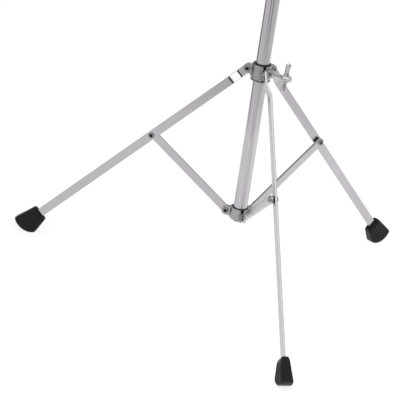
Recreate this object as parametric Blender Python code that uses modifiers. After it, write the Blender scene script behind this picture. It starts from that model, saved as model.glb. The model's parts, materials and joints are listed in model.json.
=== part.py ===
"""Practice pad stand: a single-braced flat-bar tripod on a round tube.

The legs hang on a collar that slides on the tube and is clamped by a wing bolt. Struts join them to a
bracket at the tube's lower end. A thinner upper tube carries a tilter with a threaded stud for the pad.
Metres, +Z up. The origin is on the floor, in the middle of the stand's outline, and the front leg points
along -Y.
"""
import math

import bmesh
import bpy
from mathutils import Matrix, Vector

# Clearances
GAP = 0.0003                 # between pieces that seat on each other
RUNNING_GAP = 0.0003         # round a tube that slides
MARGIN = 0.0010              # by which a cutter passes the face it leaves through
SEAM = 0.000005              # points nearer than this are joined

# Tubes
TUBE_DIAMETER = 0.0222
TUBE_WALL = 0.0011
UPPER_TUBE_DIAMETER = 0.0190
UPPER_TUBE_WALL = 0.0010
UPPER_TUBE_LENGTH = 0.270
UPPER_TUBE_EXTENSION = 0.120  # how far it stands out of the base tube

# Legs, struts and their pivots
LEG_AZIMUTHS = {"front": -90.0, "right": 30.0, "left": 150.0}
LEG_SPREAD = math.radians(43.15)    # each leg from the vertical, legs open
FOLDED_SPREAD = math.radians(4.0)   # the same, folded
FOLD_MARGIN = 0.0060                # bare tube left above the folded collar
PIVOT_RADIUS = 0.0224               # leg and strut pivots from the tube's axis
LEG_LENGTH = 0.454                  # pivot to the foot's upper edge
LEG_RIVET_DISTANCE = 0.203          # pivot to the strut's rivet
LEG_WIDTH = 0.0138
LEG_THICKNESS = 0.0040
LEG_STRAIGHT = 0.0170               # pivot to the joggle's first bend
JOGGLE_LENGTH = 0.0140
STRUT_LENGTH = 0.169                # pivot to pivot
STRUT_WIDTH = 0.0129
STRUT_THICKNESS = 0.0040
STRUT_OVERHANG = 0.0095             # end beyond the leg's rivet
SPACER_THICKNESS = 0.0020
SPACER_RADIUS = 0.0055

# Rivets
RIVET_RADIUS = 0.0030
RIVET_HEAD_RADIUS = 0.0050
RIVET_HEAD_HEIGHT = 0.0022

# Pressed plates of the collar and the bracket
PLATE_THICKNESS = 0.0018
PLATE_BEND = 0.0030                 # bend between flange and wrap, at mid thickness
COLLAR_HEIGHT = 0.0245
COLLAR_PIVOT_HEIGHT = 0.0125        # pivot above the plates' lower edge
BRACKET_HEIGHT = 0.0193
BRACKET_PIVOT_HEIGHT = 0.0090       # the same for the bracket's plates
EAR_RADIUS = 0.0074
EAR_FILLET = 0.0040

# Plastic pieces on the base tube
LINER_WALL = 0.0014
LINER_RIM = 0.0016                  # flange at the liner's top
LINER_RIM_HEIGHT = 0.0014
LINER_SKIRT = 0.0016                # flange at its foot, under the plates
LINER_SKIRT_HEIGHT = 0.0014
LINER_SLOT = 0.0020
SLEEVE_RIM = 0.0005                 # bracket's sleeve above the plates
PLUG_DEPTH = 0.0120
PLUG_FLANGE = 0.0025
GUIDE_LENGTH = 0.0080
GUIDE_BORE_RADIUS = 0.0050

# Wing bolts
CLAMP_AZIMUTH = -39.0
BOLT_RADIUS = 0.0037
BOLT_BOSS_RADIUS = 0.0070
BOLT_BOSS_DEPTH = 0.0048
BOLT_NECK = 0.0180                  # shank left bare between the collar's boss and the hub
HEIGHT_BOLT_NECK = 0.0090           # the same at the height clamp
WING_HUB_RADIUS = 0.0052
WING_HUB_LENGTH = 0.0140
WING_HUB_CROWN = 0.0012
WING_SPAN = 0.0500
WING_WIDTH = 0.0088
WING_THICKNESS = 0.0042
WING_SETBACK = 0.0050               # wings' middle from the hub's inner end

# Feet
FOOT_TOP_WIDTH = 0.0270
FOOT_TOP_THICKNESS = 0.0110
FOOT_SHOULDER_THICKNESS = 0.0150
FOOT_SHOULDER = 0.14                # shoulder's place between top and sole
FOOT_SOLE_THICKNESS = 0.0220
FOOT_SOLE_RADIUS = 0.0295
FOOT_SOLE_DEPTH = 0.0135            # sole's centre below the foot's upper edge
FOOT_SOLE_OFFSET = 0.0060           # sole's centre outward of the leg's middle line
FOOT_FAN = (math.radians(-63.0), math.radians(24.5))
FOOT_SOCKET_DEPTH = 0.0280
FOOT_FLUTES = 7
FOOT_FLUTE_DEPTH = 0.0007
FOOT_RIM = 0.9                      # where the rounding towards the sole begins
FOOT_RIM_THINNING = 0.16            # share of the thickness lost at the sole
FOOT_EDGE_THINNING = 0.18           # the same at the two narrow edges
FOOT_EDGE_POWER = 8                 # how late across the foot that thinning starts
FOOT_ROWS = (0.0, FOOT_SHOULDER, 0.4, 0.7, FOOT_RIM, 1.0)

# Height clamp at the base tube's top
CLAMP_WALL = 0.0030
CLAMP_GRIP = 0.0200                 # length gripping the base tube
CLAMP_NECK = 0.0200                 # length round the upper tube
CLAMP_BEVEL = 0.0010
HEIGHT_BOLT_AZIMUTH = -39.0

# Tilter and stud
TILTER_RADIUS = 0.0120
TILTER_HALF_THICKNESS = 0.0080
TILTER_WASHER = 0.0010
TILTER_EDGE = 0.0010                # each disc's rim to the solid beside it
TILTER_WEB = 0.0100
TILTER_STEM = 0.0165                # tube's top to the tilter's axis
TILTER_BOLT_RADIUS = 0.0030
TILTER_BOLT_NECK = 0.0040
TILTER_BOLT_END = 0.0070            # bolt's tip beyond the lower disc's face
TILTER_WING_SPAN = 0.0360
TILTER_NUT_WIDTH = 0.0100
PLATFORM_RADIUS = 0.0095
PLATFORM_HEIGHT = 0.0050
STUD_RADIUS = 0.0040
STUD_LENGTH = 0.0300
STUD_CHAMFER = 0.0008
STUD_WASHER_RADIUS = 0.0140
STUD_WASHER_THICKNESS = 0.0025
STUD_NUT_WIDTH = 0.0130
NUT_HEIGHT = 0.0060

# Steps of the curves
TUBE_SEGMENTS = 32
BOSS_SEGMENTS = 24
SMALL_SEGMENTS = 16
FINE_SEGMENTS = 84
DOME_STEPS = 3
END_STEPS = 6
BEND_STEPS = 4
WRAP_STEPS = 10
JOGGLE_STEPS = 6
FLUTE_STEPS = 2

MODEL_NAME = "practice_pad_stand"

# Values that follow from the driving dimensions
TUBE_RADIUS = TUBE_DIAMETER / 2
TUBE_BORE = TUBE_RADIUS - TUBE_WALL
UPPER_RADIUS = UPPER_TUBE_DIAMETER / 2
UPPER_PLUG_RADIUS = UPPER_RADIUS - UPPER_TUBE_WALL - GAP
LINER_INNER = TUBE_RADIUS + RUNNING_GAP
LINER_OUTER = LINER_INNER + LINER_WALL
WRAP_INNER = LINER_OUTER + GAP
WRAP_OUTER = WRAP_INNER + PLATE_THICKNESS
WRAP_MIDDLE = (WRAP_INNER + WRAP_OUTER) / 2
FLANGE_INNER = LEG_THICKNESS / 2 + GAP
FLANGE_OUTER = FLANGE_INNER + PLATE_THICKNESS
FLANGE_MIDDLE = (FLANGE_INNER + FLANGE_OUTER) / 2
BEND_START = math.sqrt((WRAP_MIDDLE + PLATE_BEND) ** 2 - (FLANGE_MIDDLE + PLATE_BEND) ** 2)
RIVET_HOLE_RADIUS = RIVET_RADIUS + GAP
LEG_OFFSET = STRUT_THICKNESS / 2 + GAP + SPACER_THICKNESS + GAP + LEG_THICKNESS / 2
SOLE_DISTANCE = LEG_LENGTH + FOOT_SOLE_DEPTH
COLLAR_PIVOT_Z = (FOOT_SOLE_RADIUS + SOLE_DISTANCE * math.cos(LEG_SPREAD)
                  - FOOT_SOLE_OFFSET * math.sin(LEG_SPREAD))
COLLAR_BOTTOM = COLLAR_PIVOT_Z - COLLAR_PIVOT_HEIGHT
COLLAR_TOP = COLLAR_BOTTOM + COLLAR_HEIGHT
STRUT_LEAN = math.asin(LEG_RIVET_DISTANCE * math.sin(LEG_SPREAD) / STRUT_LENGTH)
BRACKET_PIVOT_Z = (COLLAR_PIVOT_Z - LEG_RIVET_DISTANCE * math.cos(LEG_SPREAD)
                   - STRUT_LENGTH * math.cos(STRUT_LEAN))
BRACKET_BOTTOM = BRACKET_PIVOT_Z - BRACKET_PIVOT_HEIGHT
FOLDED_LEAN = math.asin(LEG_RIVET_DISTANCE * math.sin(FOLDED_SPREAD) / STRUT_LENGTH)
FOLD_TRAVEL = (LEG_RIVET_DISTANCE * (math.cos(FOLDED_SPREAD) - math.cos(LEG_SPREAD))
               + STRUT_LENGTH * (math.cos(FOLDED_LEAN) - math.cos(STRUT_LEAN)))
TUBE_BOTTOM = BRACKET_BOTTOM
TUBE_TOP = COLLAR_TOP + FOLD_TRAVEL + LINER_RIM_HEIGHT + FOLD_MARGIN + CLAMP_GRIP
UPPER_TOP = TUBE_TOP + UPPER_TUBE_EXTENSION
TILTER_Z = UPPER_TOP + TILTER_STEM
TILTER_INNER = TILTER_WASHER / 2 + GAP
TILTER_OUTER = TILTER_INNER + TILTER_HALF_THICKNESS
PLATFORM_BASE = TILTER_Z + TILTER_RADIUS + TILTER_EDGE
PLATFORM_TOP = PLATFORM_BASE + PLATFORM_HEIGHT

# Finishes: colour, roughness, metallic
CHROME = ((0.62, 0.62, 0.63, 1.0), 0.22, 1.0)
DARK_RIVET = ((0.22, 0.22, 0.23, 1.0), 0.30, 1.0)
RUBBER = ((0.022, 0.020, 0.019, 1.0), 0.62, 0.0)
NYLON = ((0.86, 0.85, 0.82, 1.0), 0.45, 0.0)
BLACK_PLASTIC = ((0.03, 0.03, 0.03, 1.0), 0.5, 0.0)

collection = bpy.data.collections.new(MODEL_NAME)
cutters = bpy.data.collections.new("cutters")


# Scene and materials

def clear_scene():
    for item in list(bpy.data.objects):
        bpy.data.objects.remove(item)
    bpy.context.scene.collection.children.link(collection)
    bpy.context.scene.collection.children.link(cutters)


def paint(item, finish):
    """Gives the object its own material."""
    color, roughness, metallic = finish
    material = bpy.data.materials.new(item.name)
    material.use_nodes = True
    shader = material.node_tree.nodes["Principled BSDF"]
    shader.inputs["Base Color"].default_value = color
    shader.inputs["Roughness"].default_value = roughness
    shader.inputs["Metallic"].default_value = metallic
    item.data.materials.clear()
    item.data.materials.append(material)


def add_object(name, mesh, matrix=Matrix(), finish=None):
    """Links a mesh as a named object, as a cutter where it has no finish."""
    item = bpy.data.objects.new(name, mesh)
    item.matrix_world = matrix
    if finish is None:
        cutters.objects.link(item)
        item.hide_render = True
        item.display_type = "WIRE"
    else:
        collection.objects.link(item)
        paint(item, finish)
    return item


def smooth(item, angle=35.0):
    item.data.shade_smooth()
    item.data.set_sharp_from_angle(angle=math.radians(angle))


def carry(name, matrix, pieces):
    """Hangs the pieces that move together on an empty at their joint."""
    empty = bpy.data.objects.new(f"{name}_joint", None)
    empty.matrix_world = matrix
    collection.objects.link(empty)
    for piece in pieces:
        piece.parent = empty
        piece.matrix_parent_inverse = matrix.inverted()


# Modelling tools

def cylinder_mesh(radius, low, high, segments=SMALL_SEGMENTS, matrix=Matrix()):
    """A cylinder along Z between two heights."""
    shape = bmesh.new()
    bmesh.ops.create_cone(shape, cap_ends=True, segments=segments, radius1=radius, radius2=radius,
                          depth=high - low, matrix=matrix @ Matrix.Translation((0, 0, (low + high) / 2)))
    mesh = bpy.data.meshes.new("cylinder")
    shape.to_mesh(mesh)
    shape.free()
    return mesh


def box_mesh(size, center):
    shape = bmesh.new()
    bmesh.ops.create_cube(shape, size=1.0)
    bmesh.ops.scale(shape, verts=shape.verts, vec=size)
    bmesh.ops.translate(shape, verts=shape.verts, vec=center)
    mesh = bpy.data.meshes.new("box")
    shape.to_mesh(mesh)
    shape.free()
    return mesh


def turned(name, profile, finish, matrix=Matrix(), segments=TUBE_SEGMENTS):
    """Turns a closed (radius, height) profile, given down its outer side first, round Z."""
    mesh = bpy.data.meshes.new(name)
    points = [(radius, 0.0, height) for radius, height in profile]
    count = len(points)
    hollow = all(radius > 0 for radius, _ in profile)
    edges = [(k, (k + 1) % count) for k in range(count if hollow else count - 1)]
    mesh.from_pydata(points, edges, [])
    item = add_object(name, mesh, matrix, finish)
    screw = item.modifiers.new("turn", "SCREW")
    screw.steps = segments
    screw.render_steps = segments
    screw.use_merge_vertices = True
    screw.merge_threshold = SEAM
    return item


def evaluated_mesh(item):
    """A copy of the object's mesh with its modifiers applied and its seams closed."""
    graph = bpy.context.evaluated_depsgraph_get()
    mesh = bpy.data.meshes.new_from_object(item.evaluated_get(graph))
    shape = bmesh.new()
    shape.from_mesh(mesh)
    bmesh.ops.remove_doubles(shape, verts=shape.verts, dist=SEAM)
    bmesh.ops.recalc_face_normals(shape, faces=shape.faces)
    shape.to_mesh(mesh)
    shape.free()
    return mesh


def curve_object(points, fill, closed, width):
    """A flat polyline in XY, extruded to half its width each way along Z."""
    curve = bpy.data.curves.new("outline", "CURVE")
    curve.dimensions = "2D"
    curve.fill_mode = fill
    curve.extrude = width / 2
    spline = curve.splines.new("POLY")
    spline.points.add(len(points) - 1)
    for point, (x, y) in zip(spline.points, points):
        point.co = (x, y, 0, 1)
    spline.use_cyclic_u = closed
    item = bpy.data.objects.new("outline", curve)
    cutters.objects.link(item)
    bpy.context.view_layer.update()
    return item


def outline_mesh(outline, thickness):
    """A flat closed outline in XY, as thick as thickness along Z."""
    item = curve_object(outline, "BOTH", True, thickness)
    mesh = evaluated_mesh(item)
    bpy.data.objects.remove(item)
    return mesh


def strip_mesh(path, width, thickness):
    """A bent strip: an open path in XY, as wide as width along Z and solidified about its middle."""
    item = curve_object(path, "NONE", False, width)
    sheet = bpy.data.objects.new("strip", evaluated_mesh(item))
    bpy.data.objects.remove(item)
    cutters.objects.link(sheet)
    solid = sheet.modifiers.new("thickness", "SOLIDIFY")
    solid.thickness = thickness
    solid.offset = 0
    solid.use_even_offset = True
    bpy.context.view_layer.update()
    mesh = evaluated_mesh(sheet)
    bpy.data.objects.remove(sheet)
    return mesh


def arc(center, radius, start, end, steps=END_STEPS):
    """Points on an arc between two angles in radians, both ends included."""
    angles = [start + (end - start) * k / steps for k in range(steps + 1)]
    return [(center[0] + radius * math.cos(angle), center[1] + radius * math.sin(angle)) for angle in angles]


def boolean(item, other, operation="DIFFERENCE"):
    cut = item.modifiers.new(operation.lower(), "BOOLEAN")
    cut.object = other
    cut.operation = operation
    cut.solver = "EXACT"


def unite(item, meshes):
    """Unites further closed meshes, given in the object's own space, with the object."""
    for number, mesh in enumerate(meshes):
        extra = add_object(f"{item.name}_solid_{number}", mesh, item.matrix_world.copy())
        boolean(item, extra, "UNION")


def radial_plane(azimuth, radius=0.0, height=0.0):
    """World matrix of an upright radial plane: X outward, Y up, Z to the right of one who looks outward."""
    angle = math.radians(azimuth)
    outward = Vector((math.cos(angle), math.sin(angle), 0))
    right = Vector((math.sin(angle), -math.cos(angle), 0))
    turn = Matrix((outward, Vector((0, 0, 1)), right)).transposed().to_4x4()
    return Matrix.Translation(outward * radius + Vector((0, 0, height))) @ turn


def radial_axis(azimuth, height):
    """World matrix whose Z axis points outward from the tube's axis."""
    turn = Matrix.Rotation(math.radians(azimuth), 4, "Z") @ Matrix.Rotation(math.pi / 2, 4, "Y")
    return Matrix.Translation((0, 0, height)) @ turn


def sideways(height):
    """World matrix whose Z axis runs along +X at a height on the tube's axis."""
    return radial_axis(0.0, height)


def turn_point(point, angle):
    x, y = point
    return (x * math.cos(angle) - y * math.sin(angle), x * math.sin(angle) + y * math.cos(angle))


# Tubes

def tube(name, radius, wall, bottom, top):
    bore = radius - wall
    return turned(name, [(radius, top), (radius, bottom), (bore, bottom), (bore, top)], CHROME)


def make_base_tube():
    """Base tube and the plug in its lower end."""
    tube("base_tube", TUBE_RADIUS, TUBE_WALL, TUBE_BOTTOM, TUBE_TOP)
    seat = TUBE_BOTTOM - GAP
    turned("base_tube_plug", [
        (0, TUBE_BOTTOM + PLUG_DEPTH), (TUBE_BORE - GAP, TUBE_BOTTOM + PLUG_DEPTH), (TUBE_BORE - GAP, seat),
        (TUBE_RADIUS, seat), (TUBE_RADIUS, seat - PLUG_FLANGE), (0, seat - PLUG_FLANGE)], BLACK_PLASTIC)


def make_upper_tube():
    """Upper tube and the bush that guides its lower end in the base tube."""
    bottom = UPPER_TOP - UPPER_TUBE_LENGTH
    upper = tube("upper_tube", UPPER_RADIUS, UPPER_TUBE_WALL, bottom, UPPER_TOP)
    seat = bottom - GAP
    outer = TUBE_BORE - RUNNING_GAP
    guide = turned("upper_tube_guide", [
        (UPPER_PLUG_RADIUS, bottom + GUIDE_LENGTH), (UPPER_PLUG_RADIUS, seat), (outer, seat),
        (outer, seat - GUIDE_LENGTH), (GUIDE_BORE_RADIUS, seat - GUIDE_LENGTH),
        (GUIDE_BORE_RADIUS, bottom + GUIDE_LENGTH)], NYLON)
    return [upper, guide]


# Pressed plates: a wrap round the tube between two radial flanges

def plate_path(first_azimuth):
    """Middle line of one plate in plan, from its flange at one leg to its flange at the next leg."""
    bend = (BEND_START, FLANGE_MIDDLE + PLATE_BEND)
    lift = math.atan2(bend[1], bend[0])
    sweep = 2 * math.pi / len(LEG_AZIMUTHS)
    half = [(PIVOT_RADIUS + EAR_RADIUS + 2 * GAP, FLANGE_MIDDLE)]
    half += arc(bend, PLATE_BEND, -math.pi / 2, lift - math.pi, BEND_STEPS)
    wrap = arc((0, 0), WRAP_MIDDLE, lift, sweep - lift, WRAP_STEPS)[1:-1]
    mirrored = [turn_point((x, -y), sweep) for x, y in reversed(half)]
    return [turn_point(point, math.radians(first_azimuth)) for point in half + wrap + mirrored]


def ear_scrap(height, pivot_height):
    """What is trimmed off a flange round its ear: an outline of radius by height above the plate's edge."""
    end = PIVOT_RADIUS + EAR_RADIUS + 2 * MARGIN
    over = pivot_height + EAR_RADIUS
    under = pivot_height - EAR_RADIUS
    upper = min(EAR_FILLET, height - over)
    lower = min(EAR_FILLET, under)
    points = [(BEND_START, height + MARGIN)]
    points += arc((BEND_START + upper, over + upper), upper, math.pi, math.pi * 1.5, BEND_STEPS)
    points += arc((PIVOT_RADIUS, pivot_height), EAR_RADIUS, math.pi / 2, -math.pi / 2, 2 * END_STEPS)
    points += arc((BEND_START + lower, under - lower), lower, math.pi / 2, math.pi, BEND_STEPS)
    points += [(BEND_START, -MARGIN), (end, -MARGIN), (end, height + MARGIN)]
    return points


def make_plates(place, bottom, height, pivot_height):
    """The three plates of the collar or the bracket, trimmed to their ears and drilled for the rivets."""
    scraps, holes = [], []
    for leg, azimuth in LEG_AZIMUTHS.items():
        scrap = outline_mesh(ear_scrap(height, pivot_height), 2 * (FLANGE_OUTER + MARGIN))
        scraps.append(add_object(f"{place}_{leg}_scrap", scrap, radial_plane(azimuth, 0, bottom)))
        hole = cylinder_mesh(RIVET_HOLE_RADIUS, -FLANGE_OUTER - MARGIN, FLANGE_OUTER + MARGIN)
        pivot = radial_plane(azimuth, PIVOT_RADIUS, bottom + pivot_height)
        holes.append(add_object(f"{place}_{leg}_hole", hole, pivot))
    plates = []
    middle = Matrix.Translation((0, 0, bottom + height / 2))
    sides = ("front_right", "rear", "front_left")
    for number, (side, azimuth) in enumerate(zip(sides, LEG_AZIMUTHS.values())):
        mesh = strip_mesh(plate_path(azimuth), height, PLATE_THICKNESS)
        plate = add_object(f"{place}_plate_{side}", mesh, middle, CHROME)
        for end in (number, (number + 1) % len(LEG_AZIMUTHS)):
            boolean(plate, scraps[end])
            boolean(plate, holes[end])
        plates.append(plate)
    return plates


# Rivets

def rivet_profile(low, high, low_head, high_head):
    """Profile of a rivet's shank between two faces, with a domed head at either end that has one."""
    angles = [k * math.pi / 2 / DOME_STEPS for k in range(DOME_STEPS)]
    dome = [(RIVET_HEAD_RADIUS * math.cos(angle), RIVET_HEAD_HEIGHT * math.sin(angle)) for angle in angles]
    upper = [(0, high)]
    if high_head:
        upper = [(0, high + RIVET_HEAD_HEIGHT)] + [(radius, high + rise) for radius, rise in reversed(dome)]
    lower = [(0, low)]
    if low_head:
        lower = [(radius, low - rise) for radius, rise in dome] + [(0, low - RIVET_HEAD_HEIGHT)]
    return upper + [(RIVET_RADIUS, high), (RIVET_RADIUS, low)] + lower


def make_pivot_rivets(place, pivot_height):
    profile = rivet_profile(-FLANGE_OUTER - GAP, FLANGE_OUTER + GAP, True, True)
    rivets = []
    for leg, azimuth in LEG_AZIMUTHS.items():
        pivot = radial_plane(azimuth, PIVOT_RADIUS, pivot_height)
        rivets.append(turned(f"{place}_rivet_{leg}", profile, DARK_RIVET, pivot, SMALL_SEGMENTS))
    return rivets


# Legs and struts

def bar_plane(azimuth, height, rise):
    """World matrix of a bar on its pivot: X along the bar, which rises outward by rise, and Y across it."""
    return radial_plane(azimuth, PIVOT_RADIUS, height) @ Matrix.Rotation(rise, 4, "Z")


def bar_outline(width, end, round_end):
    """Outline of a flat bar with a round end about its pivot, and another at its far end if asked for."""
    half = width / 2
    points = arc((0, 0), half, math.pi * 1.5, math.pi / 2)
    if round_end:
        return points + arc((end - half, 0), half, math.pi / 2, -math.pi / 2)
    return points + [(end, half), (end, -half)]


def drill(item, matrix, distance, depth):
    """A rivet's hole across a bar, at a distance along it."""
    hole = cylinder_mesh(RIVET_HOLE_RADIUS, -depth, depth)
    place = matrix @ Matrix.Translation((distance, 0, 0))
    boolean(item, add_object(f"{item.name}_hole_{distance:.3f}", hole, place))


def joggle(mesh):
    """Shifts a leg's bar sideways between its two bends."""
    shape = bmesh.new()
    shape.from_mesh(mesh)
    for step in range(JOGGLE_STEPS + 1):
        geometry = shape.verts[:] + shape.edges[:] + shape.faces[:]
        place = (LEG_STRAIGHT + JOGGLE_LENGTH * step / JOGGLE_STEPS, 0, 0)
        bmesh.ops.bisect_plane(shape, geom=geometry, plane_co=place, plane_no=(1, 0, 0))
    for vertex in shape.verts:
        part = min(max((vertex.co.x - LEG_STRAIGHT) / JOGGLE_LENGTH, 0), 1)
        eased = (1 - math.cos(math.pi * part)) / 2
        vertex.co.z -= LEG_OFFSET * (eased + part) / 2
    shape.to_mesh(mesh)
    shape.free()


def make_leg(leg, azimuth):
    """One leg: its bar with the joggle, its rubber foot, and its half of the strut's riveted joint."""
    matrix = bar_plane(azimuth, COLLAR_PIVOT_Z, LEG_SPREAD - math.pi / 2)
    mesh = outline_mesh(bar_outline(LEG_WIDTH, LEG_LENGTH + FOOT_SOCKET_DEPTH, False), LEG_THICKNESS)
    joggle(mesh)
    bar = add_object(f"leg_{leg}", mesh, matrix, CHROME)
    for distance in (0.0, LEG_RIVET_DISTANCE):
        drill(bar, matrix, distance, LEG_OFFSET + LEG_THICKNESS)
    joint = matrix @ Matrix.Translation((LEG_RIVET_DISTANCE, 0, -LEG_OFFSET))
    face = LEG_THICKNESS / 2 + GAP
    top = face + SPACER_THICKNESS
    profile = rivet_profile(-face, top, True, False)
    rivet = turned(f"leg_rivet_{leg}", profile, DARK_RIVET, joint, SMALL_SEGMENTS)
    spacer = turned(f"leg_spacer_{leg}", [
        (SPACER_RADIUS, top), (SPACER_RADIUS, face), (RIVET_HOLE_RADIUS, face), (RIVET_HOLE_RADIUS, top)],
        NYLON, joint, SMALL_SEGMENTS)
    carry(f"leg_{leg}", matrix, [bar, rivet, spacer, make_foot(leg, matrix)])


def make_strut(leg, azimuth):
    """One strut, with the head of the riveted joint on its free face."""
    matrix = bar_plane(azimuth, BRACKET_PIVOT_Z, math.pi / 2 - STRUT_LEAN)
    outline = bar_outline(STRUT_WIDTH, STRUT_LENGTH + STRUT_OVERHANG, True)
    bar = add_object(f"strut_{leg}", outline_mesh(outline, STRUT_THICKNESS), matrix, CHROME)
    for distance in (0.0, STRUT_LENGTH):
        drill(bar, matrix, distance, STRUT_THICKNESS)
    face = STRUT_THICKNESS / 2
    rivet = turned(f"strut_rivet_{leg}", rivet_profile(-face, face + GAP, False, True), DARK_RIVET,
                   matrix @ Matrix.Translation((STRUT_LENGTH, 0, 0)), SMALL_SEGMENTS)
    carry(f"strut_{leg}", matrix, [bar, rivet])


# Feet

def foot_thickness(down):
    """Thickness between the wide faces: a short shoulder at the top, then a steady growth to the sole."""
    if down < FOOT_SHOULDER:
        return FOOT_TOP_THICKNESS + (FOOT_SHOULDER_THICKNESS - FOOT_TOP_THICKNESS) * down / FOOT_SHOULDER
    part = (down - FOOT_SHOULDER) / (1 - FOOT_SHOULDER)
    return FOOT_SHOULDER_THICKNESS + (FOOT_SOLE_THICKNESS - FOOT_SHOULDER_THICKNESS) * part


def foot_point(across, down, side):
    """A point of a foot's skin. across runs from the inner to the outer edge, down from the top to the sole,
    and side is +1 or -1 for the two wide faces, which carry shallow flutes fanned out towards the sole."""
    angle = FOOT_FAN[0] + (FOOT_FAN[1] - FOOT_FAN[0]) * across
    top = Vector((LEG_LENGTH, FOOT_TOP_WIDTH * (across - 0.5)))
    sole = Vector((SOLE_DISTANCE + FOOT_SOLE_RADIUS * math.cos(angle),
                   FOOT_SOLE_OFFSET + FOOT_SOLE_RADIUS * math.sin(angle)))
    place = top.lerp(sole, down)
    rim = max(0.0, (down - FOOT_RIM) / (1 - FOOT_RIM)) ** 2
    edge = abs(2 * across - 1) ** FOOT_EDGE_POWER
    groove = (1 + math.cos(2 * math.pi * FOOT_FLUTES * across)) / 2
    flute = FOOT_FLUTE_DEPTH * groove * min(1.0, 2 * down / FOOT_RIM) * (1 - rim)
    thinning = FOOT_RIM_THINNING * rim + FOOT_EDGE_THINNING * edge
    half = foot_thickness(down) / 2 * (1 - thinning) - flute
    return Vector((place.x, place.y, side * half - LEG_OFFSET))


def foot_mesh():
    """The foot's skin: two wide faces lofted from top to sole, and the bands that close them."""
    columns = FLUTE_STEPS * FOOT_FLUTES
    last = len(FOOT_ROWS) - 1
    shape = bmesh.new()
    grid = {(side, i, j): shape.verts.new(foot_point(i / columns, down, side))
            for side in (-1, 1) for i in range(columns + 1) for j, down in enumerate(FOOT_ROWS)}
    cells = [(i, j) for i in range(columns) for j in range(last)]
    corners = [[(side, i, j), (side, i + 1, j), (side, i + 1, j + 1), (side, i, j + 1)]
               for side in (-1, 1) for i, j in cells]
    corners += [[(1, i, j), (-1, i, j), (-1, i + 1, j), (1, i + 1, j)]
                for j in (0, last) for i in range(columns)]
    corners += [[(1, i, j), (1, i, j + 1), (-1, i, j + 1), (-1, i, j)]
                for i in (0, columns) for j in range(last)]
    for quad in corners:
        shape.faces.new([grid[corner] for corner in quad])
    bmesh.ops.triangulate(shape, faces=shape.faces)
    bmesh.ops.recalc_face_normals(shape, faces=shape.faces)
    mesh = bpy.data.meshes.new("foot")
    shape.to_mesh(mesh)
    shape.free()
    return mesh


def make_foot(leg, matrix):
    """A rubber foot with the socket that the leg's bar is pressed into."""
    foot = add_object(f"foot_{leg}", foot_mesh(), matrix, RUBBER)
    low = LEG_LENGTH - MARGIN
    high = LEG_LENGTH + FOOT_SOCKET_DEPTH + GAP
    size = (high - low, LEG_WIDTH + 2 * GAP, LEG_THICKNESS + 2 * GAP)
    socket = box_mesh(size, ((low + high) / 2, 0, -LEG_OFFSET))
    boolean(foot, add_object(f"foot_{leg}_socket", socket, matrix))
    smooth(foot)
    return foot


# Wing bolts

def wing_bolt(name, matrix, tip, neck_end, radius, span=WING_SPAN):
    """A wing bolt along Z from its tip, with a hub past its neck and two round-ended wings."""
    hub_end = neck_end + WING_HUB_LENGTH
    shoulder = WING_HUB_RADIUS - WING_HUB_CROWN
    bolt = turned(name, [
        (0, hub_end), (shoulder, hub_end), (WING_HUB_RADIUS, hub_end - WING_HUB_CROWN),
        (WING_HUB_RADIUS, neck_end + WING_HUB_CROWN), (shoulder, neck_end), (radius, neck_end),
        (radius, tip), (0, tip)], CHROME, matrix, SMALL_SEGMENTS)
    end = WING_WIDTH / 2
    outline = arc((span / 2 - end, 0), end, -math.pi / 2, math.pi / 2)
    outline += arc((end - span / 2, 0), end, math.pi / 2, math.pi * 1.5)
    wings = outline_mesh(outline, WING_THICKNESS)
    lift = Matrix.Translation((0, 0, neck_end + WING_SETBACK))
    wings.transform(lift @ Matrix.Rotation(math.pi / 2, 4, "X"))
    unite(bolt, [wings])
    return bolt


# Collar, bracket and height clamp

def make_collar_liner():
    """The split nylon liner between the collar's plates and the tube."""
    low = COLLAR_BOTTOM - GAP
    high = COLLAR_TOP + GAP
    rim = LINER_OUTER + LINER_RIM
    skirt = LINER_OUTER + LINER_SKIRT
    liner = turned("collar_liner", [
        (rim, high + LINER_RIM_HEIGHT), (rim, high), (LINER_OUTER, high), (LINER_OUTER, low), (skirt, low),
        (skirt, low - LINER_SKIRT_HEIGHT), (LINER_INNER, low - LINER_SKIRT_HEIGHT),
        (LINER_INNER, high + LINER_RIM_HEIGHT)], NYLON)
    reach = skirt + MARGIN
    slot = box_mesh((reach, LINER_SLOT, 2 * COLLAR_HEIGHT), (-reach / 2, 0, COLLAR_PIVOT_Z))
    boolean(liner, add_object("liner_slot", slot, Matrix.Rotation(math.radians(CLAMP_AZIMUTH), 4, "Z")))
    return liner


def make_collar():
    """The sliding collar: plates, rivets, split liner and boss, and the radial wing bolt that clamps it."""
    plates = make_plates("collar", COLLAR_BOTTOM, COLLAR_HEIGHT, COLLAR_PIVOT_HEIGHT)
    rivets = make_pivot_rivets("collar", COLLAR_PIVOT_Z)
    liner = make_collar_liner()
    axis = radial_axis(CLAMP_AZIMUTH, COLLAR_PIVOT_Z)
    boss_end = WRAP_OUTER + BOLT_BOSS_DEPTH
    hole = cylinder_mesh(BOLT_RADIUS + GAP, TUBE_RADIUS / 2, boss_end + MARGIN)
    hole = add_object("collar_bolt_hole", hole, axis)
    mesh = cylinder_mesh(BOLT_BOSS_RADIUS, TUBE_RADIUS, boss_end, BOSS_SEGMENTS)
    boss = add_object("collar_boss", mesh, axis, CHROME)
    seat = cylinder_mesh(WRAP_OUTER + GAP, COLLAR_BOTTOM, COLLAR_TOP, FINE_SEGMENTS)
    boolean(boss, add_object("collar_boss_seat", seat))
    for piece in (plates[0], liner, boss):
        boolean(piece, hole)
    smooth(boss)
    pivot = Matrix.Translation((0, 0, COLLAR_PIVOT_Z))
    carry("collar", pivot, plates + rivets + [liner, boss])
    bolt = wing_bolt("collar_wing_bolt", axis, TUBE_RADIUS + GAP, boss_end + BOLT_NECK, BOLT_RADIUS)
    carry("collar_wing_bolt", axis, [bolt])


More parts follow.
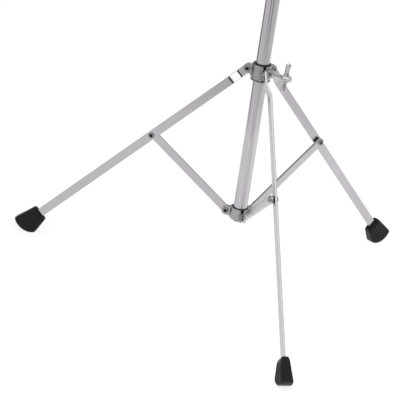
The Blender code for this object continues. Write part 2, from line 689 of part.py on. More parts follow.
def make_bracket():
    """The fixed lower bracket and the sleeve between it and the tube."""
    make_plates("bracket", BRACKET_BOTTOM, BRACKET_HEIGHT, BRACKET_PIVOT_HEIGHT)
    make_pivot_rivets("bracket", BRACKET_PIVOT_Z)
    top = BRACKET_BOTTOM + BRACKET_HEIGHT + SLEEVE_RIM
    turned("bracket_sleeve", [
        (LINER_OUTER, top), (LINER_OUTER, BRACKET_BOTTOM), (TUBE_RADIUS + GAP, BRACKET_BOTTOM),
        (TUBE_RADIUS + GAP, top)], BLACK_PLASTIC)


def make_height_clamp():
    """The clamp on the base tube's top, its liner round the upper tube, and its wing bolt."""
    low = TUBE_TOP - CLAMP_GRIP
    high = TUBE_TOP + CLAMP_NECK
    bore = TUBE_RADIUS + GAP
    outer = bore + CLAMP_WALL
    boss_end = outer + BOLT_BOSS_DEPTH
    axis = radial_axis(HEIGHT_BOLT_AZIMUTH, TUBE_TOP + CLAMP_NECK / 2)
    body = turned("height_clamp", [
        (outer - CLAMP_BEVEL, high), (outer, high - CLAMP_BEVEL), (outer, low + CLAMP_BEVEL),
        (outer - CLAMP_BEVEL, low), (bore, low), (bore, high)], CHROME)
    unite(body, [cylinder_mesh(BOLT_BOSS_RADIUS, bore, boss_end, BOSS_SEGMENTS, axis)])
    core = cylinder_mesh(bore, low - MARGIN, high + MARGIN, TUBE_SEGMENTS)
    boolean(body, add_object("height_clamp_core", core))
    hole = cylinder_mesh(BOLT_RADIUS + GAP, UPPER_RADIUS / 2, boss_end + MARGIN)
    hole = add_object("height_bolt_hole", hole, axis)
    inner = UPPER_RADIUS + RUNNING_GAP
    seat = high + GAP
    rim = bore + LINER_RIM
    liner = turned("height_clamp_liner", [
        (rim, seat + LINER_RIM_HEIGHT), (rim, seat), (bore - GAP, seat), (bore - GAP, TUBE_TOP + GAP),
        (inner, TUBE_TOP + GAP), (inner, seat + LINER_RIM_HEIGHT)], NYLON)
    for piece in (body, liner):
        boolean(piece, hole)
    bolt = wing_bolt("height_wing_bolt", axis, UPPER_RADIUS + GAP, boss_end + HEIGHT_BOLT_NECK, BOLT_RADIUS)
    carry("height_wing_bolt", axis, [bolt])


# Tilter and stud

def tilter_disc(name, side, hole):
    """One friction disc of the tilter, on the lower (-1) or upper (+1) side of its washer."""
    low, high = sorted((side * TILTER_INNER, side * TILTER_OUTER))
    mesh = cylinder_mesh(TILTER_RADIUS, low, high, TUBE_SEGMENTS)
    disc = add_object(name, mesh, sideways(TILTER_Z), CHROME)
    web_x = side * (TILTER_INNER + TILTER_OUTER) / 2
    if side < 0:
        bottom = UPPER_TOP + GAP
        top = TILTER_Z - TILTER_RADIUS - TILTER_EDGE
        solids = [cylinder_mesh(UPPER_PLUG_RADIUS, UPPER_TOP - PLUG_DEPTH, (bottom + top) / 2, BOSS_SEGMENTS),
                  cylinder_mesh(UPPER_RADIUS, bottom, top, BOSS_SEGMENTS)]
        web = ((bottom + top) / 2, TILTER_Z)
    else:
        solids = [cylinder_mesh(PLATFORM_RADIUS, PLATFORM_BASE, PLATFORM_TOP, BOSS_SEGMENTS)]
        web = (TILTER_Z, (PLATFORM_BASE + PLATFORM_TOP) / 2)
    size = (TILTER_HALF_THICKNESS - 2 * TILTER_EDGE, TILTER_WEB, web[1] - web[0])
    solids.append(box_mesh(size, (web_x, 0, (web[0] + web[1]) / 2)))
    for number, solid in enumerate(solids):
        boolean(disc, add_object(f"{name}_solid_{number}", solid), "UNION")
    boolean(disc, hole)
    smooth(disc)
    return disc


def hex_nut(name, matrix, low, bore_radius, width):
    """A hexagon nut along Z with a plain bore."""
    corner = width / math.sqrt(3)
    outline = [(corner * math.cos(k * math.pi / 3), corner * math.sin(k * math.pi / 3)) for k in range(6)]
    mesh = outline_mesh(outline, NUT_HEIGHT)
    mesh.transform(Matrix.Translation((0, 0, low + NUT_HEIGHT / 2)))
    nut = add_object(name, mesh, matrix, CHROME)
    bore = cylinder_mesh(bore_radius, low - MARGIN, low + NUT_HEIGHT + MARGIN)
    boolean(nut, add_object(f"{name}_bore", bore, matrix))
    return nut


def make_stud():
    """The threaded stud, its nut and the washer on which a practice pad seats."""
    foot = PLATFORM_BASE + 2 * GAP
    top = PLATFORM_TOP + STUD_LENGTH
    stud = turned("pad_stud", [
        (0, top), (STUD_RADIUS - STUD_CHAMFER, top), (STUD_RADIUS, top - STUD_CHAMFER), (STUD_RADIUS, foot),
        (0, foot)], CHROME, Matrix(), SMALL_SEGMENTS)
    nut_low = PLATFORM_TOP + GAP
    nut = hex_nut("pad_nut", Matrix(), nut_low, STUD_RADIUS + GAP, STUD_NUT_WIDTH)
    low = nut_low + NUT_HEIGHT + GAP
    high = low + STUD_WASHER_THICKNESS
    washer = turned("pad_washer", [
        (STUD_WASHER_RADIUS, high), (STUD_WASHER_RADIUS, low),
        (STUD_RADIUS + GAP, low), (STUD_RADIUS + GAP, high)], CHROME)
    return [stud, nut, washer]


def make_mast():
    """The sliding upper tube with the tilter on it: two discs and a washer on a wing bolt."""
    axis = sideways(TILTER_Z)
    bore = TILTER_BOLT_RADIUS + GAP
    hole = add_object("tilter_bolt_hole", cylinder_mesh(bore, -2 * TILTER_OUTER, 2 * TILTER_OUTER), axis)
    base = tilter_disc("tilter_base", -1, hole)
    head = tilter_disc("tilter_head", 1, hole)
    stud_hole = cylinder_mesh(STUD_RADIUS + GAP, PLATFORM_BASE + GAP, PLATFORM_TOP + MARGIN)
    boolean(head, add_object("stud_hole", stud_hole))
    half = TILTER_WASHER / 2
    washer = turned("tilter_washer", [
        (TILTER_RADIUS, half), (TILTER_RADIUS, -half), (bore, -half), (bore, half)], BLACK_PLASTIC, axis)
    nut = hex_nut("tilter_nut", axis, -TILTER_OUTER - GAP - NUT_HEIGHT, bore, TILTER_NUT_WIDTH)
    tip = -TILTER_OUTER - TILTER_BOLT_END
    neck_end = TILTER_OUTER + TILTER_BOLT_NECK
    bolt = wing_bolt("tilter_wing_bolt", axis, tip, neck_end, TILTER_BOLT_RADIUS, TILTER_WING_SPAN)
    carry("mast", Matrix.Translation((0, 0, UPPER_TOP)), make_upper_tube() + [base, washer, nut])
    carry("tilter_head", axis, [head] + make_stud())
    carry("tilter_wing_bolt", axis, [bolt])


def center_on_floor():
    """Moves the whole stand so that the origin is on the floor, in the middle of the stand's outline."""
    bpy.context.view_layer.update()
    graph = bpy.context.evaluated_depsgraph_get()
    corners = []
    for item in collection.objects:
        if item.type == "MESH":
            placed = item.evaluated_get(graph)
            corners += [placed.matrix_world @ vertex.co for vertex in placed.data.vertices]
    low = Vector([min(corner[k] for corner in corners) for k in range(3)])
    high = Vector([max(corner[k] for corner in corners) for k in range(3)])
    shift = Matrix.Translation((-(low.x + high.x) / 2, -(low.y + high.y) / 2, -low.z))
    for item in list(collection.objects) + list(cutters.objects):
        if item.parent is None:
            item.matrix_world = shift @ item.matrix_world


def main():
    clear_scene()
    make_base_tube()
    make_bracket()
    make_collar()
    for leg, azimuth in LEG_AZIMUTHS.items():
        make_leg(leg, azimuth)
        make_strut(leg, azimuth)
    make_height_clamp()
    make_mast()
    center_on_floor()


main()
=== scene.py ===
"""Dressed model of the practice pad stand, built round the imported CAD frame.

Laid out as an add-on whose operators each make one group of pieces, and run as a script. Metres, +Z up.
"""
import json
import math

import bmesh
import bpy
import numpy as np
from mathutils import Matrix, Vector


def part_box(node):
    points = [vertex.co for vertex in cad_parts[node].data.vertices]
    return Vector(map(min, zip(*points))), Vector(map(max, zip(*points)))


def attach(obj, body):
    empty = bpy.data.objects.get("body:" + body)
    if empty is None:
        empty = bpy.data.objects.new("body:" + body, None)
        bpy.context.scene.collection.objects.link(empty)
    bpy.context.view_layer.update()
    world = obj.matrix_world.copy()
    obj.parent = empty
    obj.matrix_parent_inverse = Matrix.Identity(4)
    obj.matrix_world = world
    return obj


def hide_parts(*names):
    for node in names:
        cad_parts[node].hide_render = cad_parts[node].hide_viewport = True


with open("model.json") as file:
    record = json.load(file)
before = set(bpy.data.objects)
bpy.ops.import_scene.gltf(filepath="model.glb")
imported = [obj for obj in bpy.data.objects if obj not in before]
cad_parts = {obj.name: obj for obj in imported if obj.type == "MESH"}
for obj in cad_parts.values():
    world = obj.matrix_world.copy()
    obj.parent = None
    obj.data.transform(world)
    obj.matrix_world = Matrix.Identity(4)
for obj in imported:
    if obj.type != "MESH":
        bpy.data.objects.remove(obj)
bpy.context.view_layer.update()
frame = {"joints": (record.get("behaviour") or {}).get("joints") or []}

bl_info = {
    "name": "Practice Pad Stand",
    "version": (1, 0, 0),
    "blender": (4, 5, 0),
    "location": "View3D > Sidebar > Pad Stand",
    "description": "Builds the pieces, finishes and stage of a folding practice pad stand",
    "category": "Object",
}

JOINTS = {joint["name"]: joint for joint in frame["joints"]}
LEGS = ("front", "right", "left")
TUBE_LOW, TUBE_HIGH = (np.array(corner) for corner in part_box("base_tube"))
AXIS = (TUBE_LOW + TUBE_HIGH) / 2 * (1, 1, 0)
TUBE_RADIUS = float(TUBE_HIGH[0] - TUBE_LOW[0]) / 2
COLLAR_PIVOT_Z = JOINTS["leg_fold_front"]["pos_m"][2]
BRACKET_PIVOT_Z = JOINTS["strut_fold_front"]["pos_m"][2]
PIVOT_RADIUS = float(np.linalg.norm(np.array(JOINTS["leg_fold_front"]["pos_m"])[:2] - AXIS[:2]))
OPEN_SPREAD = math.radians(43.15)
CLEARANCE = 0.0003
TOUCH = 0.00004
WRAP_RADIUS = 0.0140
FLANGE_RADIUS = 0.0032
BEND_RADIUS = 0.0030
BEND_X = math.sqrt((WRAP_RADIUS + BEND_RADIUS) ** 2 - (FLANGE_RADIUS + BEND_RADIUS) ** 2)
BEND_LIFT = math.atan2(FLANGE_RADIUS + BEND_RADIUS, BEND_X)
FOOT_FAN = (math.radians(-63.0), math.radians(24.5))
FOCAL = 2377.0


# Sizes and colours

def length(name, description, default):
    return bpy.props.FloatProperty(name=name, description=description, default=default, min=0.0, unit="LENGTH",
                                   precision=5)


def color(name, description, default):
    return bpy.props.FloatVectorProperty(name=name, description=description, default=default, size=3, min=0.0,
                                         max=1.0, subtype="COLOR")


class StandSizes(bpy.types.PropertyGroup):
    """Sizes of the stand's bars, plates, bolts and feet."""
    leg_width: length("Leg width", "Width of the legs' flat bar", 0.0138)
    leg_thickness: length("Leg thickness", "Thickness of the legs' flat bar", 0.0040)
    leg_length: length("Leg length", "Pivot to the foot's upper edge", 0.454)
    leg_rivet: length("Leg rivet", "Pivot to the strut's rivet along the leg", 0.203)
    socket: length("Foot socket", "Length of bar inside the foot", 0.028)
    leg_heel: length("Leg heel", "How far the leg's square upper end stands beyond its pivot", 0.0080)
    joggle_start: length("Joggle start", "Pivot to the joggle's first bend", 0.0144)
    joggle_length: length("Joggle length", "First bend to second bend along the leg", 0.0210)
    tube_wall: length("Tube wall", "Wall of both tubes", 0.0011)
    strut_width: length("Strut width", "Width of the struts' flat bar", 0.0129)
    strut_thickness: length("Strut thickness", "Thickness of the struts' flat bar", 0.0040)
    strut_length: length("Strut length", "Pivot to pivot", 0.169)
    strut_overhang: length("Strut overhang", "Strut's end beyond the leg's rivet", 0.0068)
    spacer: length("Spacer", "Thickness of the spacer between leg and strut", 0.0020)
    bar_edge: length("Bar edge", "Rounding along the flat bars' edges", 0.00045)
    plate_thickness: length("Plate thickness", "Thickness of the pressed plates", 0.0018)
    plate_edge: length("Plate edge", "Rounding along the pressed plates' edges", 0.0004)
    collar_height: length("Collar height", "Height of the collar's plates", 0.0245)
    collar_pivot: length("Collar pivot", "Pivot above the lower edge of the collar's plates", 0.0125)
    bracket_height: length("Bracket height", "Height of the bracket's plates", 0.0193)
    bracket_pivot: length("Bracket pivot", "Pivot above the lower edge of the bracket's plates", 0.0090)
    ear_radius: length("Ear radius", "Radius of the ears' round ends", 0.0074)
    ear_fillet: length("Ear fillet", "Hollow corner over and under each ear", 0.0040)
    liner_rim: length("Liner rim", "Flange at the top of the collar's liner", 0.0007)
    liner_skirt: length("Liner skirt", "Radius of the flange at the foot of the collar's liner", 0.0157)
    skirt_height: length("Skirt height", "Height of that flange", 0.0020)
    liner_slot: length("Liner slot", "Width of the slot in the collar's liner", 0.0020)
    clamp_wall: length("Clamp wall", "Wall of the height clamp", 0.0030)
    boss_radius: length("Boss radius", "Radius of the clamps' bosses", 0.0070)
    boss_depth: length("Boss depth", "How far the bosses stand out", 0.0048)
    collar_neck: length("Collar bolt's neck", "Thread left bare at the collar", 0.0180)
    height_neck: length("Height bolt's neck", "Thread left bare at the height clamp", 0.0090)
    rivet_radius: length("Rivet head", "Radius of the rivets' heads", 0.0050)
    rivet_height: length("Rivet height", "Height of the rivets' heads", 0.0022)
    bolt_radius: length("Bolt radius", "Radius of the clamps' bolts over the thread", 0.0037)
    thread_pitch: length("Thread pitch", "Pitch of the clamps' bolts and the pad's stud", 0.00125)
    hub_radius: length("Hub radius", "Radius of the wing bolts' hubs", 0.0052)
    hub_length: length("Hub length", "Length of the wing bolts' hubs", 0.0140)
    wing_width: length("Wing width", "Width of the wings along the bolt", 0.0088)
    wing_thickness: length("Wing thickness", "Thickness of the wings", 0.0042)
    wing_span: length("Wing span", "Tip to tip of the clamps' wings", 0.0500)
    wing_setback: length("Wing setback", "Wings' middle from the hub's inner end", 0.0050)
    foot_width: length("Foot width", "Width of a foot at its top", 0.0270)
    foot_top: length("Foot top", "Thickness of a foot at its top", 0.0110)
    foot_shoulder: length("Foot shoulder", "Thickness of a foot at its shoulder", 0.0150)
    sole_thickness: length("Sole thickness", "Thickness of a foot at its sole", 0.0220)
    sole_radius: length("Sole radius", "Radius of a foot's curved sole", 0.0295)
    sole_depth: length("Sole depth", "Sole's centre below the foot's top", 0.0135)
    sole_offset: length("Sole offset", "Sole's centre outward of the leg's middle", 0.0060)
    flute_depth: length("Flute depth", "Depth of the feet's flutes", 0.0013)
    flutes: bpy.props.IntProperty(name="Flutes", description="Flutes across a foot's wide face", default=7, min=0)


class StandFinishes(bpy.types.PropertyGroup):
    """Colours of the stand's finishes."""
    tube_plating: color("Tube plating", "Bright plating of the tubes", (0.545, 0.530, 0.545))
    bar_plating: color("Bar plating", "Satin plating of the legs and struts", (0.502, 0.489, 0.504))
    plate_plating: color("Plate plating", "Plating of the pressed plates and clamps", (0.385, 0.372, 0.370))
    casting: color("Casting", "Plated castings of the wing bolts and tilter", (0.60, 0.59, 0.60))
    rivet_steel: color("Rivet steel", "Darkened steel of the rivets", (0.27, 0.265, 0.265))
    rubber: color("Rubber", "Moulded rubber of the feet", (0.0052, 0.0046, 0.0040))
    nylon: color("Nylon", "Natural nylon of the liners", (0.46, 0.455, 0.45))
    black_plastic: color("Black plastic", "Moulded plastic of the plug and sleeve", (0.018, 0.018, 0.019))


# Shader maths

class Value:
    """A number socket whose sums, products and powers add their own Math nodes."""

    def __init__(self, shader, socket):
        self.shader = shader
        self.socket = socket

    def math(self, operation, *others, swap=False):
        inputs = [self, *others]
        if swap:
            inputs.reverse()
        return self.shader.node("ShaderNodeMath", {"operation": operation}, *inputs)

    def __add__(self, other):
        return self.math("ADD", other)

    def __sub__(self, other):
        return self.math("SUBTRACT", other)

    def __rsub__(self, other):
        return self.math("SUBTRACT", other, swap=True)

    def __mul__(self, other):
        return self.math("MULTIPLY", other)

    def __truediv__(self, other):
        return self.math("DIVIDE", other)

    def __pow__(self, other):
        return self.math("POWER", other)

    def over(self, other):
        """1 where the value is above the other, else 0."""
        return self.math("GREATER_THAN", other)

    __radd__ = __add__
    __rmul__ = __mul__


class Shader:
    """A node tree that is filled by expressions."""

    def __init__(self, tree):
        self.tree = tree

    def node(self, kind, settings, *inputs, output=0, **named):
        """Adds a node of any kind: its settings first, then its inputs by place or by name."""
        item = self.tree.nodes.new(kind)
        stops = settings.pop("stops", None)
        for key, value in settings.items():
            setattr(item, key, value)
        if stops:
            elements = item.color_ramp.elements
            while len(elements) < len(stops):
                elements.new(1.0)
            for element, (position, tone) in zip(elements, stops):
                element.position = position
                element.color = (tone, tone, tone, 1.0)
        for key, value in [*enumerate(inputs), *((k.replace("_", " "), v) for k, v in named.items())]:
            self.feed(item.inputs[key], value)
        return Value(self, item.outputs[output])

    def feed(self, socket, value):
        if isinstance(value, Value):
            self.tree.links.new(value.socket, socket)
        else:
            socket.default_value = value

    def mix(self, factor, first, second):
        """Mixes two colours."""
        item = self.tree.nodes.new("ShaderNodeMix")
        item.data_type = "RGBA"
        self.feed(item.inputs["Factor"], factor)
        for key, value in (("A", first), ("B", second)):
            socket = next(s for s in item.inputs if s.name == key and s.type == "RGBA")
            self.feed(socket, (*value, 1.0) if isinstance(value, tuple) and len(value) == 3 else value)
        return Value(self, next(s for s in item.outputs if s.type == "RGBA"))

    def ramp(self, value, *stops):
        return self.node("ShaderNodeValToRGB", {"stops": stops}, value)

    def noise(self, scale, detail, where, roughness=0.5):
        return self.node("ShaderNodeTexNoise", {}, Vector=where, Scale=scale, Detail=detail, Roughness=roughness)

    def stretched(self, where, scale):
        """The place, scaled by a different factor along each axis."""
        return self.node("ShaderNodeMapping", {}, Vector=where, Scale=scale)

    def bump(self, height, strength, distance):
        return self.node("ShaderNodeBump", {}, Height=height, Strength=strength, Distance=distance)


def principled(name):
    """A new material and its shader, with the principled node ready and everything else empty."""
    material = bpy.data.materials.new(name)
    material.use_nodes = True
    shader = Shader(material.node_tree)
    return material, shader, material.node_tree.nodes["Principled BSDF"]


def settle(shader, surface, **values):
    """Sets the principled node's sockets to numbers or links."""
    for key, value in values.items():
        socket = surface.inputs[key.replace("_", " ")]
        if isinstance(value, tuple) and len(value) == 3:
            value = (*value, 1.0)
        shader.feed(socket, value)


def shade(tone, factor):
    return tuple(channel * factor for channel in tone)


# Materials

def plated_tube(name, tone):
    """Bright plating on drawn tube: nearly a mirror, with long streaks that darken its colour, partly the drawing's die
    lines and partly painted reflection, faint haze and a few spots."""
    material, shader, surface = principled(name)
    where = shader.node("ShaderNodeTexCoord", {}, output=3)
    haze = shader.noise(38.0, 3.0, where)
    streaks = shader.noise(1.0, 3.0, shader.stretched(where, (260.0, 260.0, 3.0)), 0.65)
    dark = shader.ramp(streaks, (0.40, 1.0), (0.58, 0.0))
    specks = shader.ramp(shader.noise(520.0, 2.0, where), (0.70, 0.0), (0.76, 1.0))
    settle(shader, surface, Metallic=1.0,
           # The streaks darken the colour: partly the drawing's die lines, partly a painted reflection of dark
           # surroundings.
           Base_Color=shader.mix(0.55 * dark + 0.3 * specks, tone, shade(tone, 0.62)),
           Roughness=0.05 + 0.04 * haze + 0.05 * dark + 0.12 * specks,
           Normal=shader.bump(streaks + 0.5 * haze, 0.06, 0.0002))
    return material


def plated_bar(name, tone):
    """Satin plating on rolled flat bar: fine lines along the bar, cloudy plating and small nicks."""
    material, shader, surface = principled(name)
    along = shader.node("ShaderNodeUVMap", {"uv_map": "along"})
    where = shader.node("ShaderNodeTexCoord", {}, output=3)
    lines = shader.noise(1.0, 3.0, shader.stretched(along, (45.0, 5200.0, 1.0)))
    clouds = shader.noise(55.0, 3.0, where)
    nicks = shader.ramp(shader.noise(1.0, 2.0, shader.stretched(along, (900.0, 900.0, 1.0))), (0.72, 0.0), (0.78, 1.0))
    settle(shader, surface, Metallic=1.0,
           Base_Color=shader.mix(0.35 * clouds + 0.4 * nicks, tone, shade(tone, 0.78)),
           Roughness=0.09 + 0.07 * clouds + 0.05 * lines + 0.10 * nicks,
           Normal=shader.bump(lines + 0.5 * clouds, 0.10, 0.0003))
    return material


def plated_pressing(name, tone):
    """Plating on pressed plate and turned clamps: cloudy, with the press's faint ripple."""
    material, shader, surface = principled(name)
    where = shader.node("ShaderNodeTexCoord", {}, output=3)
    clouds = shader.noise(90.0, 3.0, where)
    ripple = shader.noise(260.0, 2.0, where)
    settle(shader, surface, Metallic=1.0,
           Base_Color=shader.mix(0.4 * clouds, tone, shade(tone, 0.75)),
           Roughness=0.13 + 0.10 * clouds + 0.05 * ripple,
           Normal=shader.bump(ripple, 0.10, 0.0003))
    return material


def plated_casting(name, tone):
    """Plating on cast wing bolts: soft pebbling under the plating and darker, rougher patches here and there."""
    material, shader, surface = principled(name)
    where = shader.node("ShaderNodeTexCoord", {}, output=3)
    pebble = shader.noise(620.0, 3.0, where)
    rubbed = shader.noise(120.0, 2.0, where)
    settle(shader, surface, Metallic=1.0,
           Base_Color=shader.mix(0.45 * rubbed, tone, shade(tone, 0.72)),
           Roughness=0.14 + 0.14 * rubbed,
           Normal=shader.bump(pebble, 0.16, 0.0004))
    return material


def darkened_steel(name, tone):
    """Hollow rivets in darkened steel, rubbed lighter here and there, with painted shade darkening their mouths. The
    map's first number is the distance from the rivet's axis."""
    material, shader, surface = principled(name)
    where = shader.node("ShaderNodeTexCoord", {}, output=3)
    out = shader.node("ShaderNodeSeparateXYZ", {}, shader.node("ShaderNodeUVMap", {"uv_map": "along"}))
    # Painted shade: near the axis, in the mouth, the colour falls to a tenth of the tone.
    mouth = shader.ramp(out * 100.0, (0.21, 1.0), (0.27, 0.0))
    rubbed = shader.ramp(shader.noise(420.0, 3.0, where), (0.45, 0.0), (0.75, 1.0))
    settle(shader, surface, Metallic=1.0,
           Base_Color=shader.mix(mouth, shader.mix(rubbed, tone, shade(tone, 1.7)), shade(tone, 0.10)),
           Roughness=0.30 + 0.15 * rubbed,
           Normal=shader.bump(rubbed, 0.12, 0.0003))
    return material


def moulded_rubber(name, tone):
    """Matte rubber with a fine grain and a little dust in patches."""
    material, shader, surface = principled(name)
    where = shader.node("ShaderNodeTexCoord", {}, output=3)
    grain = shader.noise(1500.0, 2.0, where)
    dust = shader.noise(70.0, 4.0, where, 0.6)
    settle(shader, surface, Specular_IOR_Level=0.20, Sheen_Weight=0.30, Sheen_Roughness=0.30,
           Base_Color=shader.mix(0.45 * dust, tone, shade(tone, 2.2)),
           Roughness=0.34 + 0.18 * dust,
           Normal=shader.bump(grain + 0.8 * dust, 0.25, 0.0003))
    return material


def moulded_plastic(name, tone, gloss):
    """Moulded plastic with a soft orange-peel skin."""
    material, shader, surface = principled(name)
    where = shader.node("ShaderNodeTexCoord", {}, output=3)
    peel = shader.noise(700.0, 2.0, where)
    blotch = shader.noise(80.0, 3.0, where)
    settle(shader, surface,
           Base_Color=shader.mix(0.5 * blotch, tone, shade(tone, 0.82)),
           Roughness=gloss + 0.15 * blotch,
           Normal=shader.bump(peel, 0.12, 0.0003))
    return material


MAKERS = {
    "tube_plating": plated_tube, "bar_plating": plated_bar, "plate_plating": plated_pressing,
    "casting": plated_casting, "rivet_steel": darkened_steel, "rubber": moulded_rubber,
    "nylon": lambda name, tone: moulded_plastic(name, tone, 0.32),
    "black_plastic": lambda name, tone: moulded_plastic(name, tone, 0.22),
}


def finish(kind):
    """The named finish, made once from the scene's colour for it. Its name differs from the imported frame's own
    materials."""
    name = f"{kind}_finish"
    if name not in bpy.data.materials:
        MAKERS[kind](name, tuple(getattr(bpy.context.scene.stand_finishes, kind)))
    return bpy.data.materials[name]


# Surfaces

def placed(points, matrix):
    """Points carried from a local frame to the stand's frame."""
    turn = np.array(matrix.to_3x3())
    return points @ turn.T + np.array(matrix.translation)


def shell(points, ring_rows=False, ring_columns=True):
    """Corners and quads of a grid of points, rows by columns. A ring joins the last row or column to the first.
    The map runs in metres: along the rows' spacing, and round the columns' spacing."""
    rows, columns = points.shape[:2]
    near = np.arange(rows if ring_rows else rows - 1)
    side = np.arange(columns if ring_columns else columns - 1)
    i, j = np.meshgrid(near, side, indexing="ij")
    after_i, after_j = (i + 1) % rows, (j + 1) % columns
    quads = np.stack([i * columns + j, i * columns + after_j, after_i * columns + after_j, after_i * columns + j], -1)
    along = np.concatenate([[0], np.cumsum(np.linalg.norm(np.diff(points, axis=0), axis=2).mean(1))])
    around = np.concatenate([[0], np.cumsum(np.linalg.norm(np.diff(points, axis=1), axis=2).mean(0))])
    along = np.append(along, 2 * along[-1] - along[-2])
    around = np.append(around, 2 * around[-1] - around[-2])
    corners = [(i, j), (i, j + 1), (i + 1, j + 1), (i + 1, j)]
    maps = np.stack([np.stack([along[a], around[b]], -1) for a, b in corners], -2)
    return points.reshape(-1, 3), quads.reshape(-1, 4), maps.reshape(-1, 4, 2)


def piece(name, shells, kind, body, *nodes, crease=32.0):
    """One object from closed shells: merged, turned outwards, smooth up to the crease angle, painted, riding on
    its body and standing for its CAD nodes."""
    offsets = np.cumsum([0] + [len(points) for points, _, _ in shells[:-1]])
    points = np.concatenate([points for points, _, _ in shells])
    quads = np.concatenate([quads + offset for (_, quads, _), offset in zip(shells, offsets)])
    maps = np.concatenate([maps for _, _, maps in shells])
    mesh = bpy.data.meshes.new(name)
    mesh.from_pydata(points.tolist(), [], quads.tolist())
    layer = mesh.uv_layers.new(name="along")
    layer.data.foreach_set("uv", maps.reshape(-1).astype(np.float32))
    work = bmesh.new()
    work.from_mesh(mesh)
    bmesh.ops.remove_doubles(work, verts=work.verts, dist=0.000002)
    bmesh.ops.dissolve_degenerate(work, edges=work.edges, dist=0.000001)
    bmesh.ops.recalc_face_normals(work, faces=work.faces)
    work.to_mesh(mesh)
    work.free()
    mesh.shade_smooth()
    mesh.set_sharp_from_angle(angle=math.radians(crease))
    item = bpy.data.objects.new(name, mesh)
    bpy.context.scene.collection.objects.link(item)
    mesh.materials.append(finish(kind))
    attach(item, body)
    if nodes:
        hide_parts(*nodes)
    return item


def rounded(corners, radius, steps=4, closed=False):
    """A polyline whose corners are replaced by arcs. Each arc is worked out as a turn of the vector from its
    centre between the two points where it meets the straight sides."""
    corners = [np.array(corner[:2], float) for corner in corners]
    count = len(corners)
    result = []
    for k, corner in enumerate(corners):
        if not closed and k in (0, count - 1):
            result.append(corner)
            continue
        before, after = corners[k - 1] - corner, corners[(k + 1) % count] - corner
        reach = min(np.linalg.norm(before), np.linalg.norm(after))
        before, after = before / np.linalg.norm(before), after / np.linalg.norm(after)
        half = math.acos(float(np.clip(before @ after, -1, 1))) / 2
        if half > math.radians(86):
            result.append(corner)
            continue
        run = min(radius / math.tan(half), 0.48 * reach)
        centre = corner + (before + after) / np.linalg.norm(before + after) * run / math.cos(half)
        first, last = corner + before * run - centre, corner + after * run - centre
        sweep = math.pi - 2 * half
        for part in np.linspace(0, 1, steps + 1):
            result.append(centre + (math.sin((1 - part) * sweep) * first + math.sin(part * sweep) * last)
                          / math.sin(sweep))
    return np.array(result)


def lathe(profile, matrix, columns=64, closed=False):
    """A profile of radius and height turned about the frame's Z: x = r cos a, y = r sin a, z = h."""
    angle = np.linspace(0, 2 * math.pi, columns, endpoint=False)
    radius, height = np.array(profile).T
    points = np.stack([np.outer(radius, np.cos(angle)), np.outer(radius, np.sin(angle)),
                       np.repeat(height[:, None], columns, 1)], -1)
    return shell(placed(points, matrix), ring_rows=closed)


def turned(corners, matrix, radius=0.0003, columns=64, steps=3):
    """A solid turned from a few corners, rounded. It is closed where the outline returns to its start off the
    axis, and runs from axis to axis otherwise."""
    closed = min(corner[0] for corner in corners) > 0
    return lathe(rounded(corners, radius, steps, closed), matrix, columns, closed)


def threaded(radius, depth, pitch, low, high, matrix, columns=40, rows_per_turn=8):
    """A threaded rod: its radius falls and rises with the height less the turn's share of the pitch, as a rounded
    ridge, and the thread fades out at both ends."""
    rows = max(int((high - low) / pitch * rows_per_turn), 4)
    height = np.linspace(low, high, rows)
    angle = np.linspace(0, 2 * math.pi, columns, endpoint=False)
    phase = height[:, None] / pitch - angle[None, :] / (2 * math.pi)
    ridge = np.abs(2 * (phase - np.floor(phase)) - 1)
    fade = np.clip(np.minimum(height - low, high - height) / pitch, 0, 1)[:, None]
    ring = radius - depth * (1 - fade * np.clip(1.3 * ridge - 0.1, 0, 1)) * np.ones_like(phase)
    points = np.stack([ring * np.cos(angle), ring * np.sin(angle), np.repeat(height[:, None], columns, 1)], -1)
    first, last = points[:1] * (0, 0, 1), points[-1:] * (0, 0, 1)
    return shell(placed(np.concatenate([first, points, last]), matrix))


def hexagon(width, low, high, bore, matrix, columns=96):
    """A hexagon nut: at each angle its radius is the flat's distance over the cosine from the flat's middle, cut
    back towards both ends by a cone, round a plain bore."""
    angle = np.linspace(0, 2 * math.pi, columns, endpoint=False)
    from_middle = (angle + math.pi / 6) % (math.pi / 3) - math.pi / 6
    flat = width / 2 / np.cos(from_middle)
    chamfer = (width / math.sqrt(3) - width / 2) * 1.05
    drop = np.linspace(0, 1, 5) * chamfer * 0.6
    heights = np.concatenate([low + drop, high - drop[::-1]])
    reach = width / 2 * 0.985 + np.concatenate([drop, drop[::-1]]) / 0.6
    body = np.minimum(flat[None, :], reach[:, None])
    ring = np.concatenate([np.full((1, columns), bore), body, np.full((1, columns), bore)])
    heights = np.concatenate([[low], heights, [high]])
    points = np.stack([ring * np.cos(angle), ring * np.sin(angle), np.repeat(heights[:, None], columns, 1)], -1)
    return shell(placed(points, matrix), ring_rows=True)


def outward(upper, lower):
    """Unit normals, away from the inside, of an outline whose two halves run from the same tip to the same tip."""
    ring = np.concatenate([upper, lower[-2:0:-1]])
    run = np.roll(ring, -1, 0) - np.roll(ring, 1, 0)
    normal = np.stack([-run[:, 1], run[:, 0]], -1) / np.linalg.norm(run, axis=1)[:, None]
    middle = (upper[len(upper) // 2] + lower[len(lower) // 2]) / 2
    if (ring[len(upper) // 2] - middle) @ normal[len(upper) // 2] < 0:
        normal = -normal
    count = len(upper)
    return normal[:count], np.concatenate([normal[:1], normal[count:][::-1], normal[count - 1:count]])


